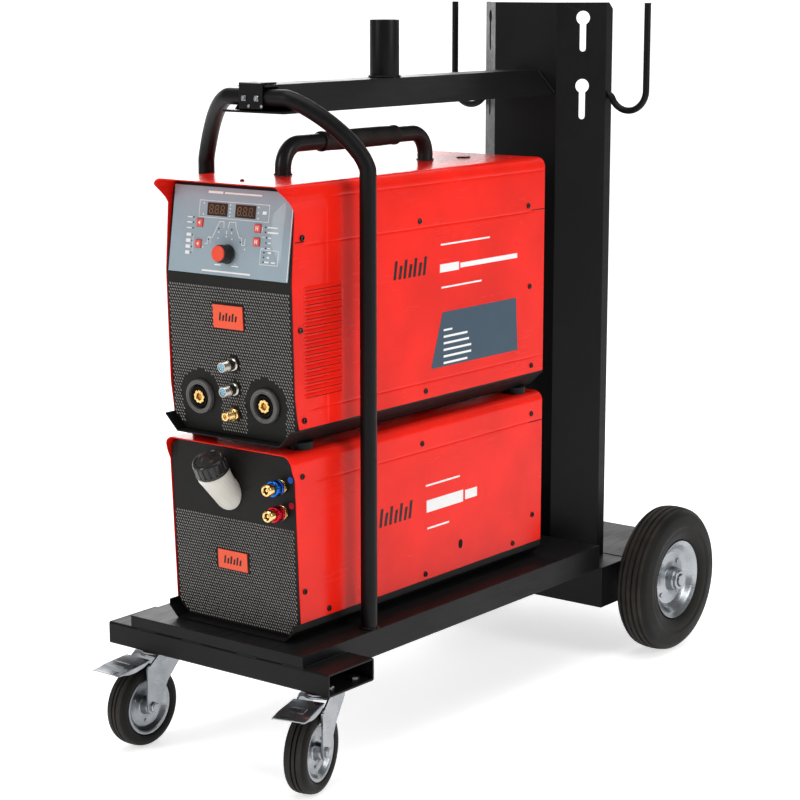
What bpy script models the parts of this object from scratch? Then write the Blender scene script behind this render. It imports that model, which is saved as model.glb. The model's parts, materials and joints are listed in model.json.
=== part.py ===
"""TIG welding machine: an inverter power source on a cooling unit, both on a two-axle cart.

Metres, +Z up, front towards -Y. The origin lies on the floor, under the middle of the bounding box.
Every Y position below is written as FRONT plus its distance behind the front of the two cases.
"""

import math

import bmesh
import bpy
from mathutils import Matrix, Vector

GAP = 0.0003                 # clearance between pieces that rest on each other
FRONT = -0.4445              # Y of the cases' front plane

# Cases: the inverter above, the cooling unit below
CASE_HALF = 0.1215
CASE_LENGTH = 0.615
CASE_SHEET = 0.0015
CASE_CORNER = 0.015
CHASSIS_SHEET = 0.002
WELDER_FLOOR = 0.4895
WELDER_SKIRT = 0.515
WELDER_TOP = 0.861
COOLER_FLOOR = 0.2038
COOLER_SKIRT = 0.2305
COOLER_TOP = 0.480
VENT_R = 0.055

# Cart
SHEET = 0.003
TRAY_HALF = 0.1685
TRAY_TOP = 0.2035
TRAY_FLANGE = 0.163
TRAY_FRONT = FRONT - 0.053
TRAY_REAR = FRONT + 0.7245
BEAM_HALF = 0.215
BEAM_DEPTH = 0.103
BEAM_LOW = 0.152
BEAM_TOP = 0.186
AXLE_BOX_FRONT = FRONT + 0.7325
AXLE_BOX_REAR = FRONT + 1.010
AXLE_BOX_LOW = 0.0925
AXLE_BOX_TOP = 0.1627
COLUMN_FRONT = FRONT + 0.734
COLUMN_WEB = 0.0617
COLUMN_HALF = 0.1214
COLUMN_SWEEP = 0.0574
COLUMN_LIP = 0.020
COLUMN_TOP = 1.104
KEYHOLE_R = 0.0115
KEYHOLE_SLOT = 0.0105
KEYHOLE_Z = (1.079, 0.968)
KEYHOLE_DROP = 0.055
BAR_LOW = 0.954
BAR_TOP = 0.994
BAR_HALF = 0.0586
BAR_TOP_HALF = 0.0245
BAR_FRONT = FRONT + 0.0450
POST_Y = FRONT + 0.352
POST_R = 0.0225
POST_TOP = 1.081
TUBE_R = 0.0122
HOOP_HALF = 0.1545
HOOP_BEND = 0.101
HOOP_FOOT_Y = FRONT + 0.1155
HOOP_TOP_Y = FRONT + 0.057
HOOP_TOP_Z = 0.976
HOOP_FLAT = 1.43
HOOK_R = 0.0055
HOOK_Y = FRONT + 0.801

# Wheels
AXLE_Y = FRONT + 0.866
REAR_R = 0.125
REAR_X = 0.215
AXLE_R = 0.010
AXLE_HALF = 0.2475
CASTER_R = 0.0625
CASTER_X = 0.1615
CASTER_Y = FRONT - 0.0018
CASTER_TRAIL = 0.0385
CASTER_TURN = {"left": 0.0, "right": math.radians(14.4)}

# Front fittings of the inverter
FASCIA_TILT = math.radians(8.5)
FASCIA_LOW = 0.726
FASCIA_TOP = 0.850
FASCIA_HALF = 0.1135
FASCIA_SHEET = 0.002
NOSE_Y = FRONT - 0.0125
GRILLE_TILT = math.radians(3.0)
PANEL_DEPTH = 0.012
KNOB_X, KNOB_Z, KNOB_R, KNOB_HEIGHT = -0.001, 0.757, 0.014, 0.023
BUTTON_SIDE = 0.0115
BUTTONS = {
    "pulse_button": (-0.0585, 0.798),
    "mode_button": (-0.0585, 0.768),
    "store_button": (0.0515, 0.797),
    "process_button": (0.0515, 0.778),
}
DISPLAYS = {"display_left": -0.027, "display_right": 0.0263}
DISPLAY_Z, DISPLAY_WIDTH, DISPLAY_HEIGHT = 0.8185, 0.038, 0.0185
DINSE_X, DINSE_Z, DINSE_R = 0.0625, 0.544, 0.0252
SIGNAL_SOCKETS = {"remote_socket": 0.5985, "torch_socket": 0.562}
SIGNAL_X = 0.004
GAS_X, GAS_Z = 0.003, 0.525

# Front fittings of the cooling unit
NECK_X, NECK_Z, NECK_R, NECK_BORE = -0.0105, 0.4095, 0.028, 0.0225
CAP_R, CAP_HEIGHT = 0.0255, 0.024
CAP_FOOT = Vector((NECK_X, FRONT - 0.038, 0.4437))
CAP_LEAN = Vector((0, -0.454, 0.891)).normalized()
COOLER_SLOPE = 0.049
COUPLINGS = {"supply": 0.432, "return": 0.394}
COUPLING_X = 0.096

# Carrying handle
HANDLE_FRONT = FRONT + 0.1115
HANDLE_REAR = FRONT + 0.4555
HANDLE_Z = 0.905
HANDLE_BEND = 0.034
GRIP_FRONT = FRONT + 0.196
GRIP_REAR = FRONT + 0.378


def clear_scene():
    """Removes whatever the scene holds."""
    for obj in list(bpy.data.objects):
        bpy.data.objects.remove(obj, do_unlink=True)


def paint(name, colour, roughness, metallic=0.0):
    """A plain Principled material."""
    material = bpy.data.materials.new(name)
    material.use_nodes = True
    shader = material.node_tree.nodes["Principled BSDF"]
    shader.inputs["Base Color"].default_value = (*colour, 1.0)
    shader.inputs["Roughness"].default_value = roughness
    shader.inputs["Metallic"].default_value = metallic
    return material


def box(low, high):
    """A closed box between two corners."""
    bm = bmesh.new()
    bmesh.ops.create_cube(bm, size=1.0)
    size = Vector(high) - Vector(low)
    middle = (Vector(high) + Vector(low)) / 2
    bmesh.ops.transform(
        bm, verts=bm.verts, matrix=Matrix.Translation(middle) @ Matrix.Diagonal((*size, 1.0))
    )
    return bm


def prism(outline, along, start, end):
    """A flat outline carried along one axis; its two coordinates are the other two axes in order."""
    order = {"X": (2, 0, 1), "Y": (0, 2, 1), "Z": (0, 1, 2)}[along]
    bm = bmesh.new()
    rings = []
    for level in (start, end):
        ring = []
        for point in outline:
            values = (point[0], point[1], level)
            ring.append(bm.verts.new([values[i] for i in order]))
        rings.append(ring)
    count = len(outline)
    for i in range(count):
        j = (i + 1) % count
        bm.faces.new((rings[0][i], rings[0][j], rings[1][j], rings[1][i]))
    bm.faces.new(rings[0])
    bm.faces.new(rings[1])
    bmesh.ops.recalc_face_normals(bm, faces=bm.faces)
    return bm


def folded_sheet(path, thickness, along, start, end):
    """A sheet of even thickness, folded along an open path and carried along one axis."""
    points = [Vector(p) for p in path]
    inner = []
    for i, point in enumerate(points):
        before = (point - points[i - 1]).normalized() if i else None
        after = (points[i + 1] - point).normalized() if i + 1 < len(points) else None
        sides = [Vector((-d.y, d.x)) for d in (before, after) if d is not None]
        if len(sides) == 1:
            inner.append(point + sides[0] * thickness)
        else:
            middle = (sides[0] + sides[1]).normalized()
            inner.append(point + middle * thickness / middle.dot(sides[0]))
    return prism([*points, *reversed(inner)], along, start, end)


def turned(profile, segments):
    """A profile of (radius, height) points turned round Z; it closes on the axis or on itself."""
    bm = bmesh.new()
    rings = []
    for radius, height in profile:
        if radius == 0.0:
            rings.append([bm.verts.new((0, 0, height))])
            continue
        ring = []
        for i in range(segments):
            angle = 2 * math.pi * i / segments
            ring.append(bm.verts.new((radius * math.cos(angle), radius * math.sin(angle), height)))
        rings.append(ring)
    pairs = list(zip(rings, rings[1:]))
    if profile[0][0] != 0.0:
        pairs.append((rings[-1], rings[0]))
    for lower, upper in pairs:
        for i in range(segments):
            j = (i + 1) % segments
            corners = [lower[i % len(lower)], lower[j % len(lower)]]
            corners += [upper[j % len(upper)], upper[i % len(upper)]]
            bm.faces.new(list(dict.fromkeys(corners)))
    bmesh.ops.recalc_face_normals(bm, faces=bm.faces)
    return bm


def headings(path):
    """The direction of travel at each point of a path."""
    points = [Vector(p) for p in path]
    last = len(points) - 1
    return [(points[min(i + 1, last)] - points[max(i - 1, 0)]).normalized() for i in range(last + 1)]


def swept(path, radii, sides, directions=None):
    """A round bar along a path, with flat ends; radii and directions hold one entry for each point."""
    points = [Vector(p) for p in path]
    bm = bmesh.new()
    rings = []
    across = None
    for i, (point, ahead) in enumerate(zip(points, directions or headings(path))):
        if across is None:
            across = ahead.orthogonal().normalized()
        across = (across - ahead * across.dot(ahead)).normalized()
        other = ahead.cross(across)
        ring = []
        for k in range(sides):
            angle = 2 * math.pi * k / sides
            offset = across * math.cos(angle) + other * math.sin(angle)
            ring.append(bm.verts.new(point + offset * radii[i]))
        rings.append(ring)
    for lower, upper in zip(rings, rings[1:]):
        for k in range(sides):
            m = (k + 1) % sides
            bm.faces.new((lower[k], lower[m], upper[m], upper[k]))
    bm.faces.new(rings[0])
    bm.faces.new(rings[-1])
    bmesh.ops.recalc_face_normals(bm, faces=bm.faces)
    return bm


def aimed(bm, origin, direction):
    """Turns a shape built round Z so that Z points along a direction, and moves it to an origin."""
    turn = Vector((0, 0, 1)).rotation_difference(Vector(direction)).to_matrix().to_4x4()
    bmesh.ops.transform(bm, verts=bm.verts, matrix=Matrix.Translation(origin) @ turn)
    return bm


def arc(centre, radius, start, end, steps):
    """Points of an arc in a plane, with angles in degrees."""
    found = []
    for i in range(steps + 1):
        angle = math.radians(start + (end - start) * i / steps)
        found.append((centre[0] + radius * math.cos(angle), centre[1] + radius * math.sin(angle)))
    return found


def place(name, bm, material, origin=(0, 0, 0), parent=None, smooth=False):
    """Makes the named object; origin is its pivot, and the shape is given in its parent's axes."""
    bmesh.ops.translate(bm, verts=bm.verts, vec=-Vector(origin))
    mesh = bpy.data.meshes.new(name)
    bm.to_mesh(mesh)
    bm.free()
    mesh.materials.append(material)
    if smooth:
        mesh.shade_smooth()
        mesh.set_sharp_from_angle(angle=math.radians(35))
    obj = bpy.data.objects.new(name, mesh)
    bpy.context.scene.collection.objects.link(obj)
    obj.location = origin
    obj.parent = parent
    return obj


def combine(target, bm, operation):
    """Adds a Boolean of a helper shape, given in the same axes as the target."""
    mesh = bpy.data.meshes.new(f"{target.name}_helper")
    bm.to_mesh(mesh)
    bm.free()
    helper = bpy.data.objects.new(mesh.name, mesh)
    bpy.context.scene.collection.objects.link(helper)
    helper.parent = target.parent
    helper.hide_render = True
    helper.display_type = "WIRE"
    modifier = target.modifiers.new(operation.title(), "BOOLEAN")
    modifier.operation = operation
    modifier.object = helper
    modifier.solver = "EXACT"


def cut(target, bm):
    combine(target, bm, "DIFFERENCE")


def join(target, bm):
    combine(target, bm, "UNION")


def pivot(name, location, turn=0.0):
    """An empty that carries the pieces of one moving assembly."""
    empty = bpy.data.objects.new(name, None)
    bpy.context.scene.collection.objects.link(empty)
    empty.location = location
    empty.rotation_euler = (0, 0, turn)
    return empty


def on_fascia(x, z, lift):
    """A point on the sloped control panel: x across, z height, lift in front of its face."""
    up = (z - FASCIA_LOW) / math.cos(FASCIA_TILT)
    slope = Vector((0, math.sin(FASCIA_TILT), math.cos(FASCIA_TILT)))
    return Vector((x, NOSE_Y - FASCIA_SHEET, FASCIA_LOW)) + slope * up + FASCIA_OUT * lift


def on_grille(x, z, lift):
    """A point on the lower front panel: x across, z height, lift in front of its face."""
    down = FASCIA_LOW - z
    return Vector((x, NOSE_Y + math.tan(GRILLE_TILT) * down, z)) + GRILLE_OUT * lift


FASCIA_OUT = Vector((0, -math.cos(FASCIA_TILT), math.sin(FASCIA_TILT)))
GRILLE_OUT = Vector((0, -math.cos(GRILLE_TILT), -math.sin(GRILLE_TILT)))


def front_beam(black):
    """Open-ended rectangular tube across the front, which carries the two swivel casters."""
    low, high = BEAM_LOW, BEAM_TOP
    rear = TRAY_FRONT + BEAM_DEPTH
    radius = 0.003
    outline = []
    corners = ((rear, high, 0), (TRAY_FRONT, high, 90), (TRAY_FRONT, low, 180), (rear, low, 270))
    for y, z, start in corners:
        centre = (y - math.copysign(radius, y - TRAY_FRONT - BEAM_DEPTH / 2),
                  z - math.copysign(radius, z - (low + high) / 2))
        outline += arc(centre, radius, start, start + 90, 3)
    beam = place("front_beam", prism(outline, "X", -BEAM_HALF, BEAM_HALF), black)
    cut(beam, box((-0.3, TRAY_FRONT + SHEET, low + SHEET), (0.3, rear - SHEET, high - SHEET)))


def tray(black):
    """Folded sheet tray with flanges down, notched to sit over the beam, and a spacer to the column."""
    outer = box((-TRAY_HALF, TRAY_FRONT, TRAY_FLANGE), (TRAY_HALF, TRAY_REAR, TRAY_TOP))
    pan = place("tray", outer, black)
    inside = TRAY_HALF - SHEET
    cut(pan, box((-inside, TRAY_FRONT + SHEET, 0.1), (inside, TRAY_REAR - SHEET, TRAY_TOP - SHEET)))
    behind_beam = TRAY_FRONT + BEAM_DEPTH + GAP
    cut(pan, box((-0.3, TRAY_FRONT - 0.05, 0.1), (0.3, behind_beam, BEAM_TOP + GAP)))
    join(pan, box((-0.055, TRAY_REAR - 0.002, 0.168), (0.055, COLUMN_FRONT - GAP, 0.196)))


def axle_box(black):
    """Folded box under the column: the axle passes through it, and a bottle pad lies on it."""
    low = (-TRAY_HALF, AXLE_BOX_FRONT, AXLE_BOX_LOW)
    housing = place("axle_box", box(low, (TRAY_HALF, AXLE_BOX_REAR, AXLE_BOX_TOP)), black)
    inside = TRAY_HALF - SHEET
    cut(housing, box((-inside, AXLE_BOX_FRONT + SHEET, 0.05),
                     (inside, AXLE_BOX_REAR - SHEET, AXLE_BOX_TOP - SHEET)))
    bore = turned([(0, -0.2), (AXLE_R + GAP, -0.2), (AXLE_R + GAP, 0.2), (0, 0.2)], 20)
    cut(housing, aimed(bore, (0, AXLE_Y, REAR_R), (1, 0, 0)))
    join(housing, box((-0.160, COLUMN_FRONT + 0.082, AXLE_BOX_TOP - 0.001),
                      (0.160, AXLE_BOX_REAR - 0.006, AXLE_BOX_TOP + 0.001)))


def column(black):
    """Hat-section sheet column, open to the rear, with keyholes for the bottle brackets."""
    rear = COLUMN_FRONT + COLUMN_SWEEP
    path = [(COLUMN_HALF, rear + COLUMN_LIP), (COLUMN_HALF, rear), (COLUMN_WEB, COLUMN_FRONT)]
    path += [(-x, y) for x, y in reversed(path)]
    bm = folded_sheet(path[::-1], SHEET, "Z", AXLE_BOX_TOP + GAP, COLUMN_TOP)
    post = place("column", bm, black)
    for side in (-1, 1):
        across = Vector((side * (COLUMN_HALF - COLUMN_WEB), COLUMN_SWEEP, 0))
        middle = Vector((side * COLUMN_WEB, COLUMN_FRONT, 0)) + across * 0.53
        turn = Matrix.Rotation(math.atan2(across.y, across.x), 4, "Z")
        half = KEYHOLE_SLOT / 2
        shoulder = math.degrees(math.asin(half / KEYHOLE_R))
        outline = arc((0, 0), KEYHOLE_R, -90 + shoulder, 270 - shoulder, 16)
        outline += arc((0, -KEYHOLE_DROP + half), half, 180, 360, 6)
        for height in KEYHOLE_Z:
            hole = prism(outline, "Y", -0.012, 0.012)
            bmesh.ops.transform(hole, verts=hole.verts,
                                matrix=Matrix.Translation(middle + Vector((0, 0, height))) @ turn)
            cut(post, hole)
        corner = [(rear + 0.006, COLUMN_TOP + 0.002), (rear + 0.03, COLUMN_TOP + 0.002),
                  (rear + 0.03, COLUMN_TOP - 0.020)]
        cut(post, prism(corner, "X", side * (COLUMN_HALF - 0.008), side * (COLUMN_HALF + 0.004)))


def top_bar(black):
    """Trapezoidal box bar from the column to the hoop; its front is notched round the hoop tube."""
    outer = [(-BAR_HALF, BAR_LOW), (BAR_HALF, BAR_LOW), (BAR_TOP_HALF, BAR_TOP), (-BAR_TOP_HALF, BAR_TOP)]
    rise = BAR_TOP - BAR_LOW - 2 * SHEET
    slope = (BAR_HALF - BAR_TOP_HALF) / (BAR_TOP - BAR_LOW)
    low_half = BAR_HALF - slope * SHEET - SHEET * 1.4
    high_half = low_half - slope * rise
    inner = [(-low_half, BAR_LOW + SHEET), (low_half, BAR_LOW + SHEET),
             (high_half, BAR_TOP - SHEET), (-high_half, BAR_TOP - SHEET)]
    bar = place("top_bar", prism(outer, "Y", BAR_FRONT, COLUMN_FRONT - GAP), black)
    cut(bar, prism(inner, "Y", BAR_FRONT - 0.01, COLUMN_FRONT + 0.01))
    notch_back = HOOP_TOP_Y + TUBE_R + 0.001
    cut(bar, box((-0.1, BAR_FRONT - 0.01, BAR_LOW + SHEET), (0.1, notch_back, BAR_TOP - SHEET)))


def hoop_path():
    """Leg, flattened bend, top, flattened bend, leg; the bends lean forward to the clamp."""
    half = [(HOOP_HALF, HOOP_FOOT_Y, TRAY_TOP + GAP), (HOOP_HALF, HOOP_FOOT_Y, 0.5)]
    for i in range(11):
        turn = math.radians(9 * i)
        rise = math.sin(turn) ** HOOP_FLAT
        inward = 1 - max(math.cos(turn), 0.0) ** HOOP_FLAT
        lean = (HOOP_FOOT_Y - HOOP_TOP_Y) * rise ** 1.64
        drop = HOOP_BEND * (1 - rise)
        half.append((HOOP_HALF - HOOP_BEND * inward, HOOP_FOOT_Y - lean, HOOP_TOP_Z - drop))
    return half + [(-x, y, z) for x, y, z in reversed(half)]


def hoop(black):
    """Bent tube that guards the cases and holds the front of the bar."""
    path = hoop_path()
    place("hoop", swept(path, [TUBE_R] * len(path), 12), black, smooth=True)


def hoop_clamp(black):
    """Folded plate over the bar's front end that clamps the hoop's top tube."""
    front, plate_top = FRONT + 0.0415, BAR_TOP + SHEET + GAP
    path = [(front, 0.960), (front, plate_top), (FRONT + 0.074, plate_top)]
    place("hoop_clamp", folded_sheet(path[::-1], SHEET, "X", -0.022, 0.022), black)


def boom_post(black):
    """Tube on the bar that takes a torch boom."""
    profile = [(POST_R, BAR_TOP + GAP), (POST_R, POST_TOP), (POST_R - SHEET, POST_TOP),
               (POST_R - SHEET, BAR_TOP + GAP)]
    place("boom_post", aimed(turned(profile, 32), (0, POST_Y, 0), (0, 0, 1)), black, smooth=True)


def cable_hooks(black):
    """J-shaped rods welded to the column's lips, for hoses and cables."""
    for name, side in (("cable_hook_left", -1), ("cable_hook_right", 1)):
        path = [(side * (COLUMN_HALF - 0.010), HOOK_Y, 0.970)]
        path += [(side * x, HOOK_Y, z) for x, z in arc((0.160, 0.962), 0.034, 205, 360, 8)]
        path.append((side * 0.194, HOOK_Y, COLUMN_TOP))
        hook = place(name, swept(path, [HOOK_R] * len(path), 10), black, smooth=True)
        face = side * (COLUMN_HALF + GAP)
        cut(hook, box((min(0, face), HOOK_Y - 0.02, 0.9), (max(0, face), HOOK_Y + 0.02, 1.0)))


def rear_axle(steel):
    """Solid bar through the axle box and both rear wheels."""
    profile = [(0, -AXLE_HALF), (AXLE_R, -AXLE_HALF), (AXLE_R, AXLE_HALF), (0, AXLE_HALF)]
    bar = aimed(turned(profile, 20), (0, AXLE_Y, REAR_R), (1, 0, 0))
    place("rear_axle", bar, steel, smooth=True)


def mirrored(half_profile):
    """A ring profile from its half above the middle plane."""
    return half_profile + [(r, -h) for r, h in reversed(half_profile)]


def wheel(name, tyre_half, rim_half, centre, rubber, zinc, parent=None, segments=24):
    """A tyre and its rim, each turned round the axle."""
    for piece, half, material, sides in (("tyre", tyre_half, rubber, segments), ("rim", rim_half, zinc, 24)):
        bm = aimed(turned(mirrored(half), sides), centre, (1, 0, 0))
        place(f"{name}_{piece}", bm, material, centre, parent, smooth=True)


def rear_wheels(rubber, zinc):
    """Solid rubber tyres on dished pressed-steel rims."""
    tyre = [(0.068, 0.022), (0.082, 0.030), (0.100, 0.031), (0.115, 0.0285), (0.1225, 0.020),
            (REAR_R, 0.008)]
    rim = [(AXLE_R + GAP, 0.030), (0.017, 0.030), (0.019, 0.006), (0.046, 0.006), (0.058, 0.018),
           (0.0677, 0.024)]
    for name, side in (("rear_left", -1), ("rear_right", 1)):
        wheel(name, tyre, rim, (side * REAR_X, AXLE_Y, REAR_R), rubber, zinc, segments=32)


def caster_fork(turn_empty, name, zinc):
    """Swivel fork: a crown disc, two side plates and the axle bolt."""
    top = 0.1409
    legs = place(name, box((-0.0245, -0.0565, 0.045), (0.0245, 0.024, top)), zinc, parent=turn_empty)
    cut(legs, box((-0.0215, -0.07, 0.03), (0.0215, 0.04, top - SHEET)))
    axle = (-CASTER_TRAIL, CASTER_R)
    outline = [(0.024, top + 0.001), (-0.0245, top + 0.001), (-0.0505, 0.1235)]
    outline += arc(axle, 0.0120, 180, 360, 8)
    outline += [(-0.006, 0.098), (0.024, 0.128)]
    combine(legs, prism(outline, "X", -0.05, 0.05), "INTERSECT")
    join(legs, turned([(0, 0.1345), (0.029, 0.1345), (0.029, top), (0, top)], 24))
    bolt = turned([(0, -0.0295), (0.006, -0.0295), (0.006, 0.0295), (0, 0.0295)], 16)
    join(legs, aimed(bolt, (0, *axle), (1, 0, 0)))


def casters(rubber, zinc):
    """Two swivel casters with brake pedals, bolted under the beam."""
    tyre = [(0.0445, 0.016), (0.054, 0.018), (0.0600, 0.0155), (CASTER_R, 0.009)]
    rim = [(0.0063, 0.0205), (0.0115, 0.0205), (0.0135, 0.007), (0.034, 0.008), (0.0400, 0.0155),
           (0.0442, 0.0155)]
    pedal = [(-0.0450, 0.1385), (-0.0900, 0.1345), (-0.1050, 0.1310), (-0.1164, 0.1320), (-0.1164, 0.1290),
             (-0.1020, 0.1275), (-0.0900, 0.1262), (-0.0580, 0.1262), (-0.0560, 0.1300), (-0.0450, 0.1355)]
    for side, sign in (("left", -1), ("right", 1)):
        name = f"caster_{side}"
        at = Vector((sign * CASTER_X, CASTER_Y, 0))
        plate = place(f"{name}_plate", box(at + Vector((-0.0475, -0.040, 0.1487)),
                                           at + Vector((0.0475, 0.040, BEAM_LOW - GAP))), zinc)
        race = turned([(0, 0.1412), (0.024, 0.1412), (0.024, 0.150), (0, 0.150)], 24)
        join(plate, aimed(race, at, (0, 0, 1)))
        turn_empty = pivot(f"{name}_swivel", at, CASTER_TURN[side])
        caster_fork(turn_empty, f"{name}_fork", zinc)
        place(f"{name}_pedal", prism(pedal, "X", -0.0265, 0.0265), zinc, (0, -0.062, 0.133), turn_empty)
        wheel(name, tyre, rim, (0, -CASTER_TRAIL, CASTER_R), rubber, zinc, turn_empty, 24)


def case_cover(name, material, skirt, top, edge):
    """Folded cover open at the bottom; the front edge of its sides follows the given line."""
    radius = CASE_CORNER
    path = [(CASE_HALF, skirt)]
    path += arc((CASE_HALF - radius, top - radius), radius, 0, 90, 4)
    path += [(-x, z) for x, z in reversed(path)]
    front = min(y for y, z in edge)
    bm = folded_sheet(path, CASE_SHEET, "Y", front, FRONT + CASE_LENGTH)
    cover = place(name, bm, material)
    ahead = front - 0.02
    cutter = [(ahead, edge[0][1]), *edge, (edge[-1][0], skirt - 0.01), (ahead, skirt - 0.01)]
    cut(cover, prism(cutter, "X", -0.2, 0.2))
    return cover


def chassis_section(floor, skirt, chamfer):
    """Bottom pan outline with cut-off lower corners."""
    flat = CASE_HALF - chamfer
    path = [(-CASE_HALF, skirt - GAP), (-CASE_HALF, floor + chamfer), (-flat, floor)]
    return path + [(-x, z) for x, z in reversed(path)]


def case_chassis(name, material, floor, skirt, top, chamfer, lip):
    """Bottom pan with a lip in front and a rear wall, folded from one sheet."""
    path = chassis_section(floor, skirt, chamfer)
    bm = folded_sheet(path, CHASSIS_SHEET, "Y", FRONT + lip, FRONT + CASE_LENGTH - 0.001)
    pan = place(name, bm, material)
    half = CASE_HALF - CASE_SHEET - GAP
    rear = FRONT + CASE_LENGTH - 0.0005
    wall = prism([(-half, floor + chamfer + 0.002), (-half + chamfer, floor + 0.001),
                  (half - chamfer, floor + 0.001), (half, floor + chamfer + 0.002),
                  (half, top - CASE_CORNER), (half - CASE_CORNER, top - CASE_SHEET - GAP),
                  (CASE_CORNER - half, top - CASE_SHEET - GAP), (-half, top - CASE_CORNER)],
                 "Y", rear - 0.004, rear - 0.0015)
    join(pan, wall)
    return pan


def fan(name, centre, radius, depth, material):
    """Axial fan rotor: a hub and seven blades in one outline."""
    blades = 7
    outline = []
    for i in range(blades):
        start = 360 * i / blades
        outline += arc((centre.x, centre.z), radius * 0.33, start, start + 18, 2)
        outline += arc((centre.x, centre.z), radius, start + 20, start + 46, 3)
    bm = prism(outline, "Y", centre.y - depth / 2, centre.y + depth / 2)
    place(name, bm, material, centre)


def finned(low, high, fins, base):
    """Outline of a finned block, fins up: base is the thickness of its solid foot."""
    pitch = (high[0] - low[0]) / (2 * fins - 1)
    outline = [(low[0], low[1]), (high[0], low[1])]
    for i in range(fins):
        right = high[0] - 2 * i * pitch
        outline += [(right, high[1]), (right - pitch, high[1])]
        if i < fins - 1:
            outline += [(right - pitch, low[1] + base), (right - 2 * pitch, low[1] + base)]
    return outline


def welder_case(red, black, steel):
    """Cover, chassis with feet, and the power module with its fan."""
    edge = [(FRONT - 0.0355, 0.853), (FRONT - 0.017, 0.838), (FRONT - 0.005, 0.826),
            (FRONT - 0.012, 0.725), (FRONT - 0.007, 0.560), (FRONT, WELDER_SKIRT)]
    case_cover("welder_cover", red, WELDER_SKIRT, WELDER_TOP, edge)
    pan = case_chassis("welder_chassis", black, WELDER_FLOOR, WELDER_SKIRT, WELDER_TOP, 0.0229, -0.018)
    for x in (-0.092, 0.092):
        for y in (0.035, 0.575):
            foot = turned([(0, COOLER_TOP + GAP), (0.019, COOLER_TOP + GAP),
                           (0.019, WELDER_FLOOR + 0.001), (0, WELDER_FLOOR + 0.001)], 20)
            join(pan, aimed(foot, (x, FRONT + y, 0), (0, 0, 1)))
    cut(pan, vent((0, 0.700), VENT_R))
    module = finned((-0.070, 0.520), (0.070, 0.640), 9, 0.018)
    place("power_module", prism(module, "Y", FRONT + 0.10, FRONT + 0.50), steel)
    fan("welder_fan", Vector((0, FRONT + 0.595, 0.700)), VENT_R - 0.004, 0.014, black)


def vent(centre, radius):
    """Cutter for a round air outlet in a rear wall."""
    bm = turned([(0, -0.02), (radius, -0.02), (radius, 0.02), (0, 0.02)], 28)
    return aimed(bm, (centre[0], FRONT + CASE_LENGTH, centre[1]), (0, 1, 0))


def welder_front(black, blue):
    """Moulded front panel with a nose between the grille and the sloped control panel."""
    half = CASE_HALF - CHASSIS_SHEET - GAP
    low = WELDER_FLOOR + CHASSIS_SHEET + GAP
    bottom = on_grille(0, low, 0)
    face = on_fascia(0, WELDER_TOP - CASE_SHEET - 0.001, -FASCIA_SHEET - GAP)
    nose = on_fascia(0, FASCIA_LOW, -FASCIA_SHEET - GAP)
    side = [(bottom.y, low), (nose.y, nose.z), (face.y, face.z),
            (face.y + PANEL_DEPTH, face.z), (nose.y + PANEL_DEPTH, nose.z), (bottom.y + PANEL_DEPTH, low)]
    panel = place("welder_front_panel", prism(side, "X", -half, half), black)
    chamfer = 0.0229
    floor_half = CASE_HALF - chamfer - 0.003
    limits = [(-floor_half, low - 0.001), (floor_half, low - 0.001), (half + 0.001, low + chamfer),
              (half + 0.001, face.z - CASE_CORNER), (half - CASE_CORNER, face.z + 0.001),
              (CASE_CORNER - half, face.z + 0.001), (-half - 0.001, face.z - CASE_CORNER),
              (-half - 0.001, low + chamfer)]
    combine(panel, prism(limits, "Y", FRONT - 0.1, FRONT + 0.1), "INTERSECT")

    slope_length = (FASCIA_TOP - FASCIA_LOW) / math.cos(FASCIA_TILT)
    plate = box((-FASCIA_HALF, -FASCIA_SHEET, 0), (FASCIA_HALF, 0, slope_length))
    lean = Matrix.Translation(on_fascia(0, FASCIA_LOW, 0)) @ Matrix.Rotation(-FASCIA_TILT, 4, "X")
    bmesh.ops.transform(plate, verts=plate.verts, matrix=lean @ Matrix.Translation((0, FASCIA_SHEET, 0)))
    fascia = place("control_fascia", plate, blue)
    for x, z in BUTTONS.values():
        for target in (fascia, panel):
            cut(target, fascia_block(x, z, BUTTON_SIDE + 0.0008, BUTTON_SIDE + 0.0008, -0.03, 0.01))
    for target in (fascia, panel):
        shaft = turned([(0, -0.03), (0.0036, -0.03), (0.0036, 0.01), (0, 0.01)], 16)
        cut(target, aimed(shaft, on_fascia(KNOB_X, KNOB_Z, 0), FASCIA_OUT))


def fascia_block(x, z, width, height, back, front):
    """A block square to the sloped control panel, from back to front along its outward normal."""
    bm = box((-width / 2, -front, -height / 2), (width / 2, -back, height / 2))
    turn = Matrix.Translation(on_fascia(x, z, 0)) @ Matrix.Rotation(-FASCIA_TILT, 4, "X")
    bmesh.ops.transform(bm, verts=bm.verts, matrix=turn)
    return bm


def welder_controls(black, red, lens):
    """Displays, push buttons and the encoder knob of the control panel."""
    for name, x in DISPLAYS.items():
        place(name, fascia_block(x, DISPLAY_Z, DISPLAY_WIDTH, DISPLAY_HEIGHT, GAP, 0.0011), lens)
    for name, (x, z) in BUTTONS.items():
        bm = fascia_block(x, z, BUTTON_SIDE, BUTTON_SIDE, -0.010, 0.0022)
        place(name, bm, red, on_fascia(x, z, 0))
    profile = [(0, -0.012), (0.003, -0.012), (0.003, 0.0006), (KNOB_R, 0.0006), (KNOB_R, 0.012),
               (0.0120, 0.014), (0.0115, KNOB_HEIGHT - 0.001), (0.0105, KNOB_HEIGHT), (0, KNOB_HEIGHT)]
    at = on_fascia(KNOB_X, KNOB_Z, 0)
    place("control_knob", aimed(turned(profile, 28), at, FASCIA_OUT), black, at, smooth=True)


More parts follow.
